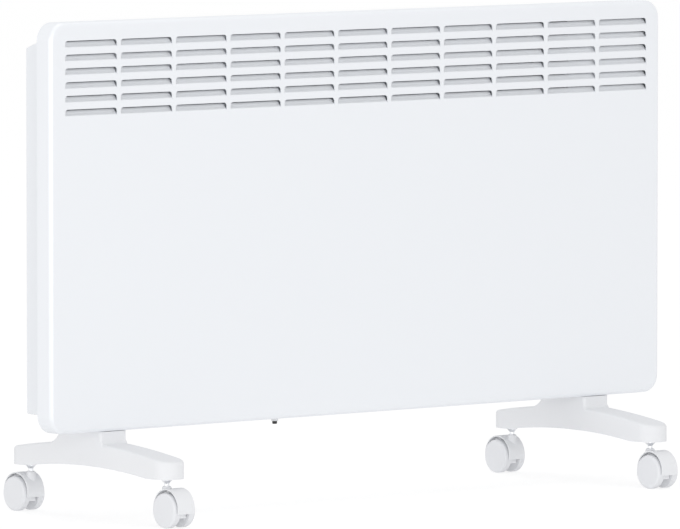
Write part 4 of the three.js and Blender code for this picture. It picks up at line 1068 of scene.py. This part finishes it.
def caster_wheel(caster, inner, outer):
    """A wheel about its axle, its rounded outer face towards +X."""
    radius, edge, lip = caster.wheel_radius, caster.wheel_edge, caster.wheel_lip
    bore = caster.axle_radius + caster.gap
    deep = outer - caster.face_wall
    profile = [(0, outer), (radius - edge - lip, outer)]
    profile += arc((radius - edge, outer - edge), edge, 84, 0, 9)
    profile += arc((radius - lip, inner + lip), lip, 0, -90, 4)
    profile += [(bore, inner), (bore, deep), (0, deep)]
    return along_x(smooth(turned("wheel", profile, 96), 28), (0, 0, 0))


def wheel_places(name):
    """The two wheel nodes of a caster, each with its axle's middle and its turn."""
    low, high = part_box(f"{name}_axle")
    centre = (low + high) / 2
    for side in ("left", "right"):
        node = f"{name}_wheel_{side}"
        yield node, centre, 0 if box_middle(node)[0] > centre.x else math.pi


class HEATER_OT_casters(bpy.types.Operator):
    """Models the four casters: hoods, stems and wheels"""

    bl_idname = "heater.casters"
    bl_label = "Casters"

    def execute(self, context):
        caster = context.scene.caster_sizes
        pattern = CASTERS[0]
        hood = caster_hood(caster, width(f"{pattern}_hood") / 2)
        stem = caster_stem(caster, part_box(f"{pattern}_stem")[1].z)
        middle_x = box_middle(f"{pattern}_hood")[0]
        sides = sorted(abs(end.x - middle_x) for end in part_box(f"{pattern}_wheel_right"))
        wheel = caster_wheel(caster, *sides)
        for name in CASTERS:
            place = box_middle(f"{name}_stem")
            behind = math.pi if name.endswith("front") else 0
            made = twin(hood, f"{name}_hood_shell", place, behind)
            dress(made, "white_plastic", f"{name}_swivel", f"{name}_hood")
            made = twin(stem, f"{name}_stem_turned", place)
            dress(made, "zinc_steel", BODY, f"{name}_stem", look="bright_zinc")
            for node, centre, turned_by in wheel_places(name):
                made = twin(wheel, f"{node}_turned", centre, turned_by)
                dress(made, "wheel_plastic", node, node)
        for made in (hood, stem, wheel):
            bpy.data.objects.remove(made)
        return {"FINISHED"}


# ---------------------------------------------------------------- controls and mains


def softened(node, radius, slot, body):
    """A copy of a moulded piece with its sharp edges rounded."""
    sharp = 40
    made = merged_copy(node, f"{node}_moulded")
    pick("EDGE", lambda e: e.calc_face_angle(0) > math.radians(sharp))
    bpy.ops.mesh.bevel(offset=radius, segments=3, affect="EDGES", clamp_overlap=True)
    weld()
    face_out()
    return dress(smooth(done(made), sharp), slot, body, node)


class HEATER_OT_controls(bpy.types.Operator):
    """Rounds the moulded edges of the control face, its buttons and the mains switch"""

    bl_idname = "heater.controls"
    bl_label = "Controls"

    def execute(self, context):
        sizes = context.scene.fitting_sizes
        edge = sizes.moulded_edge
        softened("control_face", edge, "white_plastic", BODY)
        for name in BUTTONS:
            softened(name, edge, "key_grey", name)
        softened("switch_frame", edge, "black_plastic", BODY)
        softened("switch_rocker", sizes.rocker_edge, "black_plastic", "switch_rocker")
        return {"FINISHED"}


def air_sensor(sizes):
    """The sensor's probe with its rounded tip."""
    low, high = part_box("air_sensor")
    radius, tip = width("air_sensor") / 2, sizes.sensor_tip
    profile = [(0, low.z)] + arc((radius - tip, low.z + tip), tip, -90, 0, 6)
    profile += [(radius, high.z), (0, high.z)]
    return moved(turned("air_sensor_probe", profile, 48), box_middle("air_sensor"))


def sensor_sleeve(sizes):
    """The sleeve round the sensor, with a collar at its top."""
    low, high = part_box("sensor_sleeve")
    inside = width("air_sensor") / 2 + sizes.gap
    outside, edge = inside + sizes.sleeve_wall, sizes.sleeve_edge
    collar, collar_low = width("sensor_sleeve") / 2, high.z - sizes.collar
    profile = [(inside, low.z), (outside - edge, low.z), (outside, low.z + edge)]
    profile += [(outside, collar_low), (collar, collar_low), (collar, high.z)]
    profile += [(inside, high.z), (inside, low.z)]
    return moved(turned("sensor_sleeve_tube", profile, 48), box_middle("air_sensor"))


def cord_gland(sizes):
    """The gland in the casing's floor: a tapered nose, a flange and a sleeve."""
    low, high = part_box("cord_gland")
    bore, wide, sleeve = sizes.gland_bore, width("cord_gland") / 2, sizes.gland_sleeve
    edge, flange = sizes.gland_edge, low.z + sizes.gland_nose
    flange_top = flange + sizes.gland_flange
    profile = [(bore, low.z), (sizes.gland_tip - edge, low.z), (sizes.gland_tip, low.z + edge)]
    profile += [(sizes.gland_root, flange), (wide - edge, flange), (wide, flange + edge)]
    profile += [(wide, flange_top), (sleeve, flange_top), (sleeve, high.z), (bore, high.z)]
    profile += [(bore, low.z)]
    return moved(turned("cord_gland_moulded", profile, 64), box_middle("cord_gland"))


class HEATER_OT_sensor(bpy.types.Operator):
    """Models the room-air sensor, its sleeve and the cord gland"""

    bl_idname = "heater.sensor"
    bl_label = "Sensor and gland"

    def execute(self, context):
        sizes = context.scene.fitting_sizes
        sensor, sleeve = smooth(air_sensor(sizes)), smooth(sensor_sleeve(sizes))
        gland = smooth(cord_gland(sizes))
        dress(sensor, "black_plastic", BODY, "air_sensor")
        dress(sleeve, "white_plastic", BODY, "sensor_sleeve")
        dress(gland, "black_plastic", BODY, "cord_gland")
        return {"FINISHED"}


# ---------------------------------------------------------------- pieces kept from the frame


def finish_node(node, material):
    """Gives a piece that keeps its CAD shape its finish."""
    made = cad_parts[node]
    if not made.material_slots:
        made.data.materials.append(material)
    for place in made.material_slots:
        place.material = material


class HEATER_OT_inside(bpy.types.Operator):
    """Gives the pieces inside the casing, the screws and the axles their finishes"""

    bl_idname = "heater.inside"
    bl_label = "Inside"

    def execute(self, context):
        steel = ["heat_shield", "element_bracket_left", "element_bracket_right"]
        steel += [f"foot_screw_{s}_{e}" for s in ("left", "right") for e in ("front", "rear")]
        steel += [f"{name}_axle" for name in CASTERS]
        finishes = {
            "zinc_steel": steel,
            "element_aluminium": ["heating_element"],
            "ceramic": ["element_terminal_left", "element_terminal_right"],
            "black_plastic": ["thermal_cutout", "wire_connector", "gland_nut"],
            "white_plastic": ["control_housing", "terminal_block"],
            "board_green": ["control_board"],
            "display_dark": ["display_window"],
        }
        for name, nodes in finishes.items():
            for node in nodes:
                finish_node(node, coat(name))
        return {"FINISHED"}


# ---------------------------------------------------------------- running the script

PROPERTY_GROUPS = {
    "cover_sizes": CoverSizes,
    "casing_sizes": CasingSizes,
    "foot_sizes": FootSizes,
    "caster_sizes": CasterSizes,
    "fitting_sizes": FittingSizes,
    "finishes": Finishes,
    "stage_sizes": StageSizes,
}
OPERATORS = [
    HEATER_OT_stage,
    HEATER_OT_cover,
    HEATER_OT_casing,
    HEATER_OT_feet,
    HEATER_OT_casters,
    HEATER_OT_controls,
    HEATER_OT_sensor,
    HEATER_OT_inside,
]


class HEATER_PT_panel(bpy.types.Panel):
    """Lists the heater's pieces in the sidebar"""

    bl_label = "Panel convector heater"
    bl_space_type = "VIEW_3D"
    bl_region_type = "UI"
    bl_category = "Heater"

    def draw(self, context):
        for operator in OPERATORS:
            self.layout.operator(operator.bl_idname)


def register():
    for name, group in PROPERTY_GROUPS.items():
        bpy.utils.register_class(group)
        setattr(bpy.types.Scene, name, PointerProperty(type=group))
    for made in [*OPERATORS, HEATER_PT_panel]:
        bpy.utils.register_class(made)


def unregister():
    for made in [HEATER_PT_panel, *reversed(OPERATORS)]:
        bpy.utils.unregister_class(made)
    for name, group in reversed(PROPERTY_GROUPS.items()):
        delattr(bpy.types.Scene, name)
        bpy.utils.unregister_class(group)


def main():
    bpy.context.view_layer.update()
    register()
    bpy.ops.object.select_all(action="DESELECT")
    bpy.ops.heater.stage()
    bpy.ops.heater.cover()
    bpy.ops.heater.casing()
    bpy.ops.heater.feet()
    bpy.ops.heater.casters()
    bpy.ops.heater.controls()
    bpy.ops.heater.sensor()
    bpy.ops.heater.inside()


if __name__ == "__main__":
    main()
